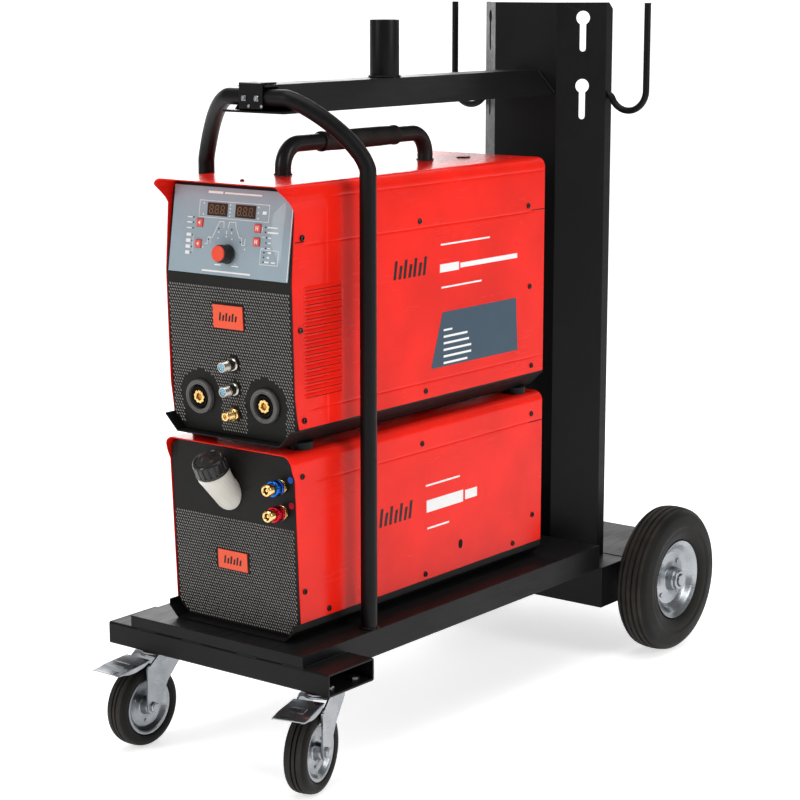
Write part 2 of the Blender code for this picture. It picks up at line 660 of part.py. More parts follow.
def welder_sockets(black, brass, steel):
    """Two current sockets, two control sockets and the gas outlet, all square to the lower panel."""
    ring = [(0, GAP), (DINSE_R, GAP), (DINSE_R, 0.006), (0.0232, 0.008), (0.0195, 0.008), (0.0190, 0.0025),
            (0.0120, 0.0025), (0.0115, 0.006), (0.0065, 0.006), (0.0065, 0.001), (0, 0.001)]
    for name, side in (("current_socket_minus", -1), ("current_socket_plus", 1)):
        bm = aimed(turned(ring, 28), on_grille(side * DINSE_X, DINSE_Z, 0), GRILLE_OUT)
        place(name, bm, black, smooth=True)
    plug = [(0, GAP), (0.0098, GAP), (0.0098, 0.004), (0.0078, 0.0045), (0.0078, 0.026), (0.0062, 0.027),
            (0.0062, 0.022), (0, 0.022)]
    for name, z in SIGNAL_SOCKETS.items():
        bm = aimed(turned(plug, 20), on_grille(SIGNAL_X, z, 0), GRILLE_OUT)
        place(name, bm, steel, smooth=True)
    outlet = [(0, GAP), (0.0095, GAP), (0.0095, 0.009), (0.0068, 0.010), (0.0068, 0.022), (0.0055, 0.024),
              (0.0030, 0.024), (0.0030, 0.014), (0, 0.014)]
    foot = on_grille(GAS_X, GAS_Z, 0)
    place("gas_outlet", aimed(turned(outlet, 20), foot, GRILLE_OUT), brass, smooth=True)


def carrying_handle(black, rubber):
    """Bent tube on the inverter's top with a thicker grip sleeve."""
    foot = WELDER_TOP + GAP
    low = HANDLE_Z - HANDLE_BEND
    path = [(0, HANDLE_FRONT, foot)]
    path += [(0, y, z) for y, z in arc((HANDLE_FRONT + HANDLE_BEND, low), HANDLE_BEND, 180, 90, 6)]
    path += [(0, y, z) for y, z in arc((HANDLE_REAR - HANDLE_BEND, low), HANDLE_BEND, 90, 0, 6)]
    path.append((0, HANDLE_REAR, foot))
    place("carrying_handle", swept(path, [TUBE_R] * len(path), 12), black, smooth=True)
    length = GRIP_REAR - GRIP_FRONT
    sleeve = [(TUBE_R + GAP, 0), (0.0145, 0), (0.0152, 0.002), (0.0152, length - 0.002), (0.0145, length),
              (TUBE_R + GAP, length)]
    bm = aimed(turned(sleeve, 24), (0, GRIP_FRONT, HANDLE_Z), (0, 1, 0))
    place("handle_grip", bm, rubber, smooth=True)


def rear_fittings(black, red):
    """Main switch and mains cable gland on the inverter's rear wall."""
    wall = FRONT + CASE_LENGTH - 0.002 + GAP
    knob = [(0, 0), (0.018, 0), (0.018, 0.004), (0.013, 0.005), (0.013, 0.010), (0, 0.010)]
    at = Vector((-0.065, wall, 0.800))
    switch = place("main_switch", aimed(turned(knob, 24), at, (0, 1, 0)), red, at)
    join(switch, box(at + Vector((-0.0035, 0.006, -0.016)), at + Vector((0.0035, 0.017, 0.016))))
    gland = [(0.008, 0), (0.016, 0), (0.016, 0.006), (0.0135, 0.007), (0.0135, 0.020), (0.011, 0.024),
             (0.008, 0.024)]
    bm = aimed(turned(gland, 20), (0.070, wall, 0.560), (0, 1, 0))
    place("mains_gland", bm, black, smooth=True)


def cooler_face(z):
    """Y of the cooling unit's front panel, which leans back as it goes down."""
    return FRONT + 0.001 - COOLER_SLOPE * (z - COOLER_SKIRT)


def cooler_case(red, black, steel):
    """Cover, chassis, front panel, and the radiator, pump and fan inside."""
    edge = [(FRONT - 0.0205, 0.4735), (FRONT - 0.0158, 0.456), (FRONT - 0.0105, 0.4447),
            (FRONT, COOLER_SKIRT)]
    case_cover("cooler_cover", red, COOLER_SKIRT, COOLER_TOP, edge)
    pan = case_chassis("cooler_chassis", black, COOLER_FLOOR, COOLER_SKIRT, COOLER_TOP, 0.0165, -0.0176)
    cut(pan, vent((0, 0.350), VENT_R))
    half = CASE_HALF - CHASSIS_SHEET - GAP
    low = COOLER_FLOOR + CHASSIS_SHEET + GAP
    top = COOLER_TOP - CASE_SHEET - 0.001
    chamfer = 0.0165
    outline = [(-half + chamfer + 0.002, low), (half - chamfer - 0.002, low), (half, low + chamfer + 0.002),
               (half, top - CASE_CORNER), (half - CASE_CORNER, top), (CASE_CORNER - half, top),
               (-half, top - CASE_CORNER), (-half, low + chamfer + 0.002)]
    sheet = prism(outline, "Y", 0, 0.002)
    for vert in sheet.verts:
        vert.co.y += cooler_face(vert.co.z)
    panel = place("cooler_front_panel", sheet, black)
    bore = NECK_BORE + 2 * GAP
    hole = turned([(0, -0.02), (bore, -0.02), (bore, 0.02), (0, 0.02)], 24)
    cut(panel, aimed(hole, (NECK_X, FRONT, NECK_Z), (0, 1, 0)))
    core = finned((-0.080, 0.235), (0.080, 0.460), 15, 0.012)
    place("radiator", prism(core, "Y", FRONT + 0.520, FRONT + 0.560), steel)
    fan("cooler_fan", Vector((0, FRONT + 0.595, 0.350)), VENT_R - 0.004, 0.014, black)
    motor = [(0, 0.0), (0.038, 0.0), (0.038, 0.075), (0.030, 0.078), (0.030, 0.110), (0, 0.110)]
    pump_foot = (0.045, FRONT + 0.22, 0.290)
    place("coolant_pump", aimed(turned(motor, 24), pump_foot, (0, 1, 0)), steel, smooth=True)


def cooler_fluid(white, black, brass, blue, red):
    """Tank with its filler neck, the screw cap, and two quick couplings with coloured sleeves."""
    ahead = Vector((0, -1, 0))
    lean = CAP_LEAN
    square = Vector((0, -1, -COOLER_SLOPE)).normalized()
    base = Vector((NECK_X, cooler_face(NECK_Z) - 0.0005, NECK_Z))
    path = [base - ahead * 0.05, base - square * 0.0001, base, base + square * 0.0023]
    path += [CAP_FOOT - lean * 0.006, CAP_FOOT - lean * 0.0005, CAP_FOOT, CAP_FOOT + lean * 0.019]
    radii = [NECK_BORE, NECK_BORE, NECK_R, NECK_R, 0.0245, 0.0240, 0.0205, 0.0205]
    tank = place("coolant_tank", box((-0.070, FRONT + 0.030, 0.290), (0.050, FRONT + 0.170, 0.455)), white)
    join(tank, swept(path, radii, 24, [ahead] + [square] * 3 + [lean] * 4))
    cap = [(0.0208, 0), (CAP_R, 0), (CAP_R, CAP_HEIGHT - 0.002), (0.0235, CAP_HEIGHT), (0, CAP_HEIGHT),
           (0, 0.0195), (0.0208, 0.0195)]
    shape = [cap[4], cap[3], cap[2], cap[1], cap[0], cap[6], cap[5]]
    foot = CAP_FOOT + lean * GAP
    place("filler_cap", aimed(turned(shape, 28), foot, lean), black, foot, smooth=True)
    body = [(0, GAP), (0.0105, GAP), (0.0105, 0.0040), (0.0078, 0.0048), (0.0078, 0.0345), (0.0060, 0.0365),
            (0.0042, 0.0365), (0.0042, 0.0150), (0, 0.0150)]
    sleeve = [(0.0081, 0.0082), (0.0112, 0.0082), (0.0118, 0.0094), (0.0118, 0.0222), (0.0110, 0.0238),
              (0.0081, 0.0238)]
    for (name, z), colour in zip(COUPLINGS.items(), (blue, red)):
        at = Vector((COUPLING_X, cooler_face(z) - 0.0006, z))
        place(f"{name}_coupling", aimed(turned(body, 20), at, (0, -1, 0)), brass, smooth=True)
        place(f"{name}_sleeve", aimed(turned(sleeve, 20), at, (0, -1, 0)), colour, at, smooth=True)


def build():
    clear_scene()
    black = paint("satin_black", (0.020, 0.020, 0.022), 0.45)
    moulded = paint("moulded_black", (0.030, 0.030, 0.032), 0.55)
    rubber = paint("rubber", (0.022, 0.022, 0.022), 0.75)
    red = paint("red_enamel", (0.66, 0.030, 0.015), 0.28)
    zinc = paint("zinc_plated", (0.62, 0.63, 0.64), 0.32, 1.0)
    steel = paint("aluminium", (0.70, 0.71, 0.72), 0.40, 1.0)
    brass = paint("brass", (0.72, 0.52, 0.22), 0.30, 1.0)
    slate = paint("slate_blue", (0.20, 0.26, 0.31), 0.40)
    lens = paint("display_lens", (0.06, 0.03, 0.02), 0.15)
    white = paint("tank_white", (0.80, 0.79, 0.74), 0.40)
    button_red = paint("button_red", (0.75, 0.10, 0.05), 0.40)
    blue = paint("sleeve_blue", (0.03, 0.16, 0.55), 0.35, 0.5)
    sleeve_red = paint("sleeve_red", (0.50, 0.02, 0.05), 0.35, 0.5)
    for make in (front_beam, tray, axle_box, column, top_bar, hoop, hoop_clamp, boom_post, cable_hooks):
        make(black)
    rear_axle(zinc)
    rear_wheels(rubber, zinc)
    casters(rubber, zinc)
    welder_case(red, black, steel)
    welder_front(moulded, slate)
    welder_controls(moulded, button_red, lens)
    welder_sockets(moulded, brass, zinc)
    carrying_handle(black, rubber)
    rear_fittings(moulded, button_red)
    cooler_case(red, black, steel)
    cooler_fluid(white, moulded, brass, blue, sleeve_red)


build()
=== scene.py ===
import json
from math import cos, pi, radians, sin

import bmesh
import bpy
import numpy as np
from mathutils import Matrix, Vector


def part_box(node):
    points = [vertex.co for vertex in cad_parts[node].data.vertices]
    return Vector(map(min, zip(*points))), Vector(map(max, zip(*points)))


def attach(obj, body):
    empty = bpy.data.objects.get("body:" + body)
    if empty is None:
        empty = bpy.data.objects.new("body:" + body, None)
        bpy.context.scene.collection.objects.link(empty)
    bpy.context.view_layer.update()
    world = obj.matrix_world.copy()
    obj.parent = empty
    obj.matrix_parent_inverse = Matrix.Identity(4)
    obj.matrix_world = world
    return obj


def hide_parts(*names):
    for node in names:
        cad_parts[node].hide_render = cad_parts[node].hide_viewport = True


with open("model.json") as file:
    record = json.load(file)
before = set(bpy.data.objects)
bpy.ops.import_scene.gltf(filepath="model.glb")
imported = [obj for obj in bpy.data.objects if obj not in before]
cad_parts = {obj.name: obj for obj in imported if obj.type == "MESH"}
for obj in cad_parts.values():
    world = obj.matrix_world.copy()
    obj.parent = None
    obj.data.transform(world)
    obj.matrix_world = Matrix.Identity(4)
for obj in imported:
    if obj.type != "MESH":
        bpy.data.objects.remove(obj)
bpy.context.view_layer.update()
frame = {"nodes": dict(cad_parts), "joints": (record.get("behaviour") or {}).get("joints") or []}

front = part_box("welder_cover")[1].y - 0.615      # plane of the cases' front, and the datum for Y

# Camera and studio -----------------------------------------------------------------------------
# A long lens, a little above the inverter and off to its right-hand side. The floor and the wall
# are one pale sweep that glows a little, lit by two soft boxes, two strips and a dim white room.
lens = bpy.data.cameras.new("camera")
lens.lens = 97.9
lens.sensor_width = 36.0
lens.clip_end = 50.0
camera = bpy.data.objects.new("camera", lens)
camera.location = (2.069, -2.745, 1.1403)
aim = Vector((0.00906, -0.06542, 0.4876))
camera.rotation_euler = (aim - camera.location).to_track_quat("-Z", "Y").to_euler()
bpy.context.scene.collection.objects.link(camera)
bpy.context.scene.camera = camera

room = bpy.data.worlds.new("white room")
room.use_nodes = True
room.node_tree.nodes["Background"].inputs["Color"].default_value = (1.0, 1.0, 1.0, 1.0)
room.node_tree.nodes["Background"].inputs["Strength"].default_value = 0.22
bpy.context.scene.world = room
bpy.context.scene.view_settings.view_transform = "Standard"

for name, place, target, size, power in (
        ("overhead soft box", (0.2, -0.4, 3.2), (0, 0, 0.5), (2.2, 2.2), 50),
        ("side soft box", (3.4, 0.2, 1.9), (0, 0.1, 0.55), (1.4, 2.0), 44),
        ("front strip", (-1.2, -3.4, 1.9), (0, -0.4, 0.5), (0.8, 1.8), 36),
        ("back strip", (-2.2, 2.2, 1.8), (0, 0.2, 0.7), (1.0, 2.0), 16)):
    light = bpy.data.lights.new(name, "AREA")
    light.shape = "RECTANGLE"
    light.size, light.size_y = size
    light.energy = power
    lamp = bpy.data.objects.new(name, light)
    lamp.location = place
    lamp.rotation_euler = (Vector(target) - Vector(place)).to_track_quat("-Z", "Y").to_euler()
    bpy.context.scene.collection.objects.link(lamp)


def studio_sweep():
    """Floor rising into a back wall: height is zero, then a quarter circle, then straight up."""
    along = np.concatenate([np.linspace(-9.0, 4.0, 14), 4.0 + 1.5 * np.sin(np.linspace(0.15, pi / 2, 12))])
    up = np.concatenate([np.zeros(14), 1.5 - 1.5 * np.cos(np.linspace(0.15, pi / 2, 12))])
    along, up = np.append(along, 5.5), np.append(up, 6.0)
    turn = radians(37.5)
    across = np.linspace(-9.0, 9.0, 7)
    a, c = np.meshgrid(along, across, indexing="ij")
    points = np.stack([c * cos(turn) - a * sin(turn), c * sin(turn) + a * cos(turn),
                       np.repeat(up[:, None], 7, 1)], axis=-1)
    index = np.arange(points.shape[0] * 7).reshape(-1, 7)
    quads = np.stack([index[:-1, :-1], index[:-1, 1:], index[1:, 1:], index[1:, :-1]], -1).reshape(-1, 4)
    mesh = bpy.data.meshes.new("studio_sweep")
    mesh.from_pydata(points.reshape(-1, 3).tolist(), [], quads.tolist())
    mesh.shade_smooth()
    return bpy.data.objects.new("studio_sweep", mesh)


sweep = studio_sweep()
paper = bpy.data.materials.new("seamless paper")
paper.use_nodes = True
paper_shader = paper.node_tree.nodes["Principled BSDF"]
paper_shader.inputs["Base Color"].default_value = (0.93, 0.93, 0.93, 1.0)
paper_shader.inputs["Roughness"].default_value = 0.9
paper_shader.inputs["Specular IOR Level"].default_value = 0.1
paper_shader.inputs["Emission Color"].default_value = (1.0, 1.0, 1.0, 1.0)
paper_shader.inputs["Emission Strength"].default_value = 0.62
sweep.data.materials.append(paper)
bpy.context.scene.collection.objects.link(sweep)


# Painted sheet and tube ------------------------------------------------------------------------
# The cart is cut and folded from 3 mm steel sheet and tube, welded, and powder coated satin black
# in one piece. The same recipe with other numbers gives the gloss enamel of the covers.
def coated_metal(name, colour, dust, roughness, spread, coat, shine, peel_scale, peel):
    """Paint on steel: cloudy colour, dust that lies on faces turned up, fine scratches, orange peel."""
    material = bpy.data.materials.new(name)
    material.use_nodes = True
    nodes, links = material.node_tree.nodes, material.node_tree.links
    nodes.clear()
    tint_frame = nodes.new("NodeFrame")
    tint_frame.label = "Cloudy colour and settled dust"
    gloss_frame = nodes.new("NodeFrame")
    gloss_frame.label = "Rubbed and scratched gloss"
    relief_frame = nodes.new("NodeFrame")
    relief_frame.label = "Orange peel"

    place = nodes.new("ShaderNodeTexCoord")
    place.label = "Place on the piece"
    cloud = nodes.new("ShaderNodeTexNoise")
    cloud.label = "Slow changes in the coat's depth"
    cloud.inputs["Scale"].default_value = 7.0
    cloud.inputs["Detail"].default_value = 4.0
    shades = nodes.new("ShaderNodeValToRGB")
    shades.label = "Thin coat to thick coat"
    shades.color_ramp.elements[0].position = 0.3
    shades.color_ramp.elements[0].color = (*(c * 0.86 for c in colour), 1.0)
    shades.color_ramp.elements[1].position = 0.7
    shades.color_ramp.elements[1].color = (*(min(c * 1.12, 1.0) for c in colour), 1.0)
    facing = nodes.new("ShaderNodeNewGeometry")
    facing.label = "Which way the face looks"
    upright = nodes.new("ShaderNodeSeparateXYZ")
    upright.label = "How far it looks up"
    settled = nodes.new("ShaderNodeMapRange")
    settled.label = "Dust only on faces turned up"
    settled.inputs["From Min"].default_value = 0.6
    settled.inputs["From Max"].default_value = 1.0
    specks = nodes.new("ShaderNodeTexNoise")
    specks.label = "Uneven dust"
    specks.inputs["Scale"].default_value = 46.0
    specks.inputs["Detail"].default_value = 6.0
    amount = nodes.new("ShaderNodeMath")
    amount.label = "Dust where both agree"
    amount.operation = "MULTIPLY"
    film = nodes.new("ShaderNodeMath")
    film.label = "Strength of the dust"
    film.operation = "MULTIPLY"
    film.inputs[1].default_value = dust
    dusted = nodes.new("ShaderNodeMix")
    dusted.label = "Dust over the paint"
    dusted.data_type = "RGBA"
    dusted.inputs[7].default_value = (0.42, 0.40, 0.38, 1.0)

    rubbed = nodes.new("ShaderNodeTexNoise")
    rubbed.label = "Hand rubbed patches"
    rubbed.inputs["Scale"].default_value = 13.0
    rubbed.inputs["Detail"].default_value = 5.0
    stretch = nodes.new("ShaderNodeMapping")
    stretch.label = "Scratches run along the piece"
    stretch.inputs["Scale"].default_value = (160.0, 14.0, 160.0)
    scratches = nodes.new("ShaderNodeTexNoise")
    scratches.label = "Fine scratches"
    scratches.inputs["Scale"].default_value = 1.0
    scratches.inputs["Detail"].default_value = 3.0
    both = nodes.new("ShaderNodeMath")
    both.label = "Patches and scratches together"
    both.operation = "MULTIPLY"
    gloss = nodes.new("ShaderNodeMapRange")
    gloss.label = "Roughness from rubbing"
    gloss.inputs["From Min"].default_value = 0.12
    gloss.inputs["From Max"].default_value = 0.42
    gloss.inputs["To Min"].default_value = roughness - spread
    gloss.inputs["To Max"].default_value = roughness + spread

    peel_noise = nodes.new("ShaderNodeTexNoise")
    peel_noise.label = "Skin of the sprayed coat"
    peel_noise.inputs["Scale"].default_value = peel_scale
    peel_noise.inputs["Detail"].default_value = 2.0
    relief = nodes.new("ShaderNodeBump")
    relief.label = "Skin as relief"
    relief.inputs["Strength"].default_value = peel
    relief.inputs["Distance"].default_value = 0.0004

    shader = nodes.new("ShaderNodeBsdfPrincipled")
    shader.label = "Painted steel"
    shader.inputs["Specular IOR Level"].default_value = shine
    shader.inputs["Coat Weight"].default_value = coat
    shader.inputs["Coat Roughness"].default_value = 0.12
    output = nodes.new("ShaderNodeOutputMaterial")
    output.label = "Surface"

    for frame_node, members in ((tint_frame, (cloud, shades, facing, upright, settled, specks, amount, film,
                                              dusted)),
                                (gloss_frame, (rubbed, stretch, scratches, both, gloss)),
                                (relief_frame, (peel_noise, relief))):
        for member in members:
            member.parent = frame_node
    for column, row in (((place,), 0), ((cloud, shades, facing, upright, settled, specks, amount, film,
                                         dusted), 1),
                        ((rubbed, stretch, scratches, both, gloss), 2), ((peel_noise, relief), 3),
                        ((shader, output), 4)):
        for i, node in enumerate(column):
            node.location = (220 * i + 260 * (row == 4) * 8, -320 * (row % 4))

    links.new(place.outputs["Object"], cloud.inputs["Vector"])
    links.new(cloud.outputs["Fac"], shades.inputs["Fac"])
    links.new(facing.outputs["Normal"], upright.inputs["Vector"])
    links.new(upright.outputs["Z"], settled.inputs["Value"])
    links.new(place.outputs["Object"], specks.inputs["Vector"])
    links.new(settled.outputs["Result"], amount.inputs[0])
    links.new(specks.outputs["Fac"], amount.inputs[1])
    links.new(amount.outputs["Value"], film.inputs[0])
    links.new(film.outputs["Value"], dusted.inputs[0])
    links.new(shades.outputs["Color"], dusted.inputs[6])
    links.new(dusted.outputs[2], shader.inputs["Base Color"])
    links.new(place.outputs["Object"], rubbed.inputs["Vector"])
    links.new(place.outputs["Object"], stretch.inputs["Vector"])
    links.new(stretch.outputs["Vector"], scratches.inputs["Vector"])
    links.new(rubbed.outputs["Fac"], both.inputs[0])
    links.new(scratches.outputs["Fac"], both.inputs[1])
    links.new(both.outputs["Value"], gloss.inputs["Value"])
    links.new(gloss.outputs["Result"], shader.inputs["Roughness"])
    links.new(place.outputs["Object"], peel_noise.inputs["Vector"])
    links.new(peel_noise.outputs["Fac"], relief.inputs["Height"])
    links.new(relief.outputs["Normal"], shader.inputs["Normal"])
    links.new(shader.outputs["BSDF"], output.inputs["Surface"])
    return material


def finish_node(node, material, edge=0.0008):
    """The CAD solid keeps its shape: its corners are welded and slightly broken, and it gets a finish."""
    piece = frame["nodes"][node]
    piece.data.materials.clear()
    piece.data.materials.append(material)
    weld = piece.modifiers.new("Weld", "WELD")
    weld.merge_threshold = 0.00001
    if edge:
        broken = piece.modifiers.new("Broken edges", "BEVEL")
        broken.width = edge
        broken.segments = 2
        broken.limit_method = "ANGLE"
        broken.angle_limit = radians(40)
        broken.use_clamp_overlap = True


cart_paint = coated_metal("cart paint", (0.0065, 0.0060, 0.0062), 0.02, 0.40, 0.08, 0.0, 0.13, 420.0, 0.22)
for node in ("front_beam", "tray", "axle_box", "column", "top_bar", "hoop_clamp"):
    finish_node(node, cart_paint)


# Bent tubes of the cart --------------------------------------------------------------------------
# The hoop is one bent 24 mm tube, welded by its feet to the tray and clamped under the bar. The
# boom post is a 45 mm tube stub, and the cable hooks are 11 mm rods welded to the column's lips.
def skin(name, grid, material, loop=False, caps=True, crease=32):
    """Quads over a grid of points. Each row closes on itself; loop also joins the last row to the
    first, and caps fills the end rows. Rows shrunk to a point become a pole."""
    rows, around = grid.shape[:2]
    index = np.arange(rows * around).reshape(rows, around)
    if loop:
        index = np.vstack([index, index[:1]])
    beside = np.roll(index, -1, axis=1)
    quads = np.stack([index[:-1], beside[:-1], beside[1:], index[1:]], axis=-1).reshape(-1, 4).tolist()
    if caps and not loop:
        quads += [index[0][::-1].tolist(), index[-1].tolist()]
    mesh = bpy.data.meshes.new(name)
    mesh.from_pydata(grid.reshape(-1, 3).tolist(), [], quads)
    shape = bmesh.new()
    shape.from_mesh(mesh)
    bmesh.ops.remove_doubles(shape, verts=shape.verts, dist=0.000002)
    bmesh.ops.recalc_face_normals(shape, faces=shape.faces)
    shape.to_mesh(mesh)
    shape.free()
    mesh.materials.append(material)
    mesh.shade_smooth()
    mesh.set_sharp_from_angle(angle=radians(crease))
    piece = bpy.data.objects.new(name, mesh)
    bpy.context.scene.collection.objects.link(piece)
    return piece


def fitted(piece, body, slot, *nodes):
    """The piece moves with its body and stands for the CAD nodes it covers. Its slot is not used."""
    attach(piece, body)
    if nodes:
        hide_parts(*nodes)
    return piece


def tube(path, plane, radius, sides=40):
    """Circle of a radius carried along a flat path: path + r (cos a * side + sin a * plane's normal),
    where side is the normal crossed with the path's direction."""
    ahead = np.gradient(path, axis=0)
    ahead /= np.linalg.norm(ahead, axis=1, keepdims=True)
    plane = np.broadcast_to(np.array(plane, float), path.shape)
    side = np.cross(plane, ahead)
    side /= np.linalg.norm(side, axis=1, keepdims=True)
    third = np.cross(ahead, side)
    angle = np.linspace(0, 2 * pi, sides, endpoint=False)[None, :, None]
    radius = np.broadcast_to(np.asarray(radius, float), (len(path),))[:, None, None]
    return path[:, None] + radius * (np.cos(angle) * side[:, None] + np.sin(angle) * third[:, None])


tube_radius = 0.0122
hoop_half = 0.1545
hoop_bend = 0.101
hoop_top = 0.976
hoop_flat = 1.43                                 # power of the bend's sine and cosine; 1 is a circle
hoop_foot_y = front + 0.1155
hoop_lean = 0.0585                               # how far the top stands ahead of the feet
lean_power = 1.64
leg_rows = 40
tray_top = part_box("tray")[1].z
weld_gap = 0.0004
leg_rise = np.linspace(tray_top + weld_gap, hoop_top - hoop_bend, leg_rows, endpoint=False)
bend_angle = np.linspace(0, pi / 2, 36)
rounding = np.clip(np.cos(bend_angle), 0, 1) ** hoop_flat
climb = np.sin(bend_angle) ** hoop_flat
hoop_x = np.concatenate([np.full(leg_rows, hoop_half), hoop_half - hoop_bend * (1 - rounding)])
hoop_z = np.concatenate([leg_rise, hoop_top - hoop_bend * (1 - climb)])
hoop_y = hoop_foot_y - hoop_lean * np.concatenate([np.zeros(leg_rows), climb ** lean_power])
right_leg = np.stack([hoop_x, hoop_y, hoop_z], axis=-1)
hoop_path = np.concatenate([right_leg, right_leg[::-1] * [-1, 1, 1]])
hoop_grid = tube(hoop_path, (0, 1, 0), tube_radius, 44)
hoop_grid[[0, -1], :, 2] = tray_top + weld_gap
fitted(skin("guard_hoop", hoop_grid, cart_paint), "cart", "cart_black", "hoop")


def eased(profile, ease, steps=4):
    """Corners of an open outline rounded: each becomes a short parabola that starts and ends at most
    ease away from it along its two sides."""
    profile = np.asarray(profile, float)
    before, corner, after = profile[:-2], profile[1:-1], profile[2:]
    back, on = before - corner, after - corner
    back_length = np.linalg.norm(back, axis=1, keepdims=True)
    on_length = np.linalg.norm(on, axis=1, keepdims=True)
    start = corner + back / back_length * np.minimum(ease, back_length * 0.45)
    end = corner + on / on_length * np.minimum(ease, on_length * 0.45)
    t = np.linspace(0, 1, steps)[:, None, None]
    curve = (1 - t) ** 2 * start + 2 * t * (1 - t) * corner + t ** 2 * end
    return np.concatenate([profile[:1], curve.transpose(1, 0, 2).reshape(-1, 2), profile[-1:]])


def frame_round(axis):
    """Two directions square to an axis and to each other."""
    axis = Vector(axis).normalized()
    first = axis.orthogonal().normalized()
    if abs(axis.x) > 0.5:
        first = Vector((0, 0, 1)) - axis * axis.z
        first.normalize()
    return np.array(axis), np.array(first), np.array(axis.cross(first))


def turning(profile, centre, axis, sides=64, ripple=None):
    """Outline of (radius, height) turned round an axis: centre + h axis + r (cos a first + sin a
    second). ripple, a function of height and angle, is added to the radius."""
    axis, first, second = frame_round(axis)
    angle = np.linspace(0, 2 * pi, sides, endpoint=False)[None, :]
    radius = profile[:, :1] + np.zeros_like(angle)
    if ripple is not None:
        radius = radius + ripple(profile[:, 1:2], angle) * (profile[:, :1] > 1e-6)
    return (np.array(centre, float) + profile[:, 1, None, None] * axis
            + radius[..., None] * (np.cos(angle)[..., None] * first + np.sin(angle)[..., None] * second))


post_low, post_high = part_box("boom_post")
post_tall = post_high.z - post_low.z
post_bore, post_radius = 0.0195, 0.0225
post_wall = eased([(post_bore, 0), (post_radius, 0), (post_radius, post_tall), (post_bore, post_tall),
                   (post_bore, 0)], 0.0006)
post_foot = (0, (post_low.y + post_high.y) / 2, post_low.z)
fitted(skin("boom_post_tube", turning(post_wall, post_foot, (0, 0, 1)), cart_paint, loop=True),
       "cart", "cart_black", "boom_post")

hook_y = front + 0.801
for side, name in ((-1, "left"), (1, "right")):
    bend = np.linspace(radians(205), radians(360), 30)
    rod_x = np.concatenate([[0.1222, 0.1262], 0.160 + 0.034 * np.cos(bend), np.full(20, 0.194)])
    rod_z = np.concatenate([[0.9565, 0.9515], 0.962 + 0.034 * np.sin(bend),
                            np.linspace(0.9665, 1.1036, 20)])
    rod = np.stack([side * rod_x, np.full(rod_x.shape, hook_y), rod_z], axis=-1)
    rod_grid = tube(rod, (0, 1, 0), 0.0055, 24)
    rod_grid[0, :, 0] = side * 0.1218
    fitted(skin(f"cable_rod_{name}", rod_grid, cart_paint), "cart", "cart_black", f"cable_hook_{name}")


# Weld beads ------------------------------------------------------------------------------------
# Short hand-laid fillet welds join the tray to the beam, the hoop to the tray, the post to the bar
# and the bar to the column. Each is a rippled bead laid along its joint and painted over.
def weld_bead(name, path, radius, ripples, sides=12):
    """Round bead along a path whose radius swells with every ripple: r (1 + 0.16 |sin|), and tapers
    to nothing at both ends."""
    rows = len(path)
    t = np.linspace(0, 1, rows)
    swell = radius * (0.86 + 0.16 * np.abs(np.sin(t * ripples * pi)))
    swell = swell * np.clip(np.minimum(t, 1 - t) * 26, 0.06, 1.0)
    ahead = np.gradient(path, axis=0)
    plane = np.cross(ahead, (0.3, 0.2, 1.0))
    plane /= np.linalg.norm(plane, axis=1, keepdims=True)
    return fitted(skin(name, tube(path, plane, swell, sides), cart_paint, crease=60), "cart", "cart_black")


def straight(start, end, count):
    """Points from start to end in even steps."""
    t = np.linspace(0, 1, count)[:, None]
    return np.array(start, float) * (1 - t) + np.array(end, float) * t


tray_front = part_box("tray")[0].y
beam_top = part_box("front_beam")[1].z
tray_seam_y = tray_front + 0.0008
weld_circle = tube_radius + 0.0008
for i, x in enumerate((-0.135, -0.045, 0.062, 0.150)):
    seam = straight((x - 0.021, tray_seam_y, beam_top), (x + 0.021, tray_seam_y, beam_top), 70)
    weld_bead(f"tray_weld_{i + 1}", seam, 0.0017, 13)
for side, name in ((-1, "left"), (1, "right")):
    seam = straight((side * 0.1688, tray_front + 0.006, beam_top + 0.0006),
                    (side * 0.1688, tray_front + 0.096, beam_top + 0.0006), 120)
    weld_bead(f"tray_end_weld_{name}", seam, 0.0017, 26)
    turn = np.linspace(0, 2 * pi, 90)
    seam = np.stack([side * hoop_half + weld_circle * np.cos(turn),
                     hoop_foot_y + weld_circle * np.sin(turn), np.full(90, tray_top + 0.0012)], axis=-1)
    weld_bead(f"hoop_weld_{name}", seam, 0.0021, 22)
turn = np.linspace(0, 2 * pi, 130)
post_weld_radius, post_weld_z = post_radius + 0.0006, 0.9955
seam = np.stack([post_weld_radius * np.cos(turn), post_foot[1] + post_weld_radius * np.sin(turn),
                 np.full(130, post_weld_z)], axis=-1)
weld_bead("post_weld", seam, 0.0020, 34)
column_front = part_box("column")[0].y
bar_half, bar_slant = 0.0586, 0.0245
bar_weld_low, bar_weld_high = 0.956, 0.993
for side, name in ((-1, "left"), (1, "right")):
    seam = straight((side * (bar_half + 0.0006), column_front - 0.0006, bar_weld_low),
                    (side * (bar_slant + 0.0006), column_front - 0.0006, bar_weld_high), 60)
    weld_bead(f"bar_weld_{name}", seam, 0.0020, 12)


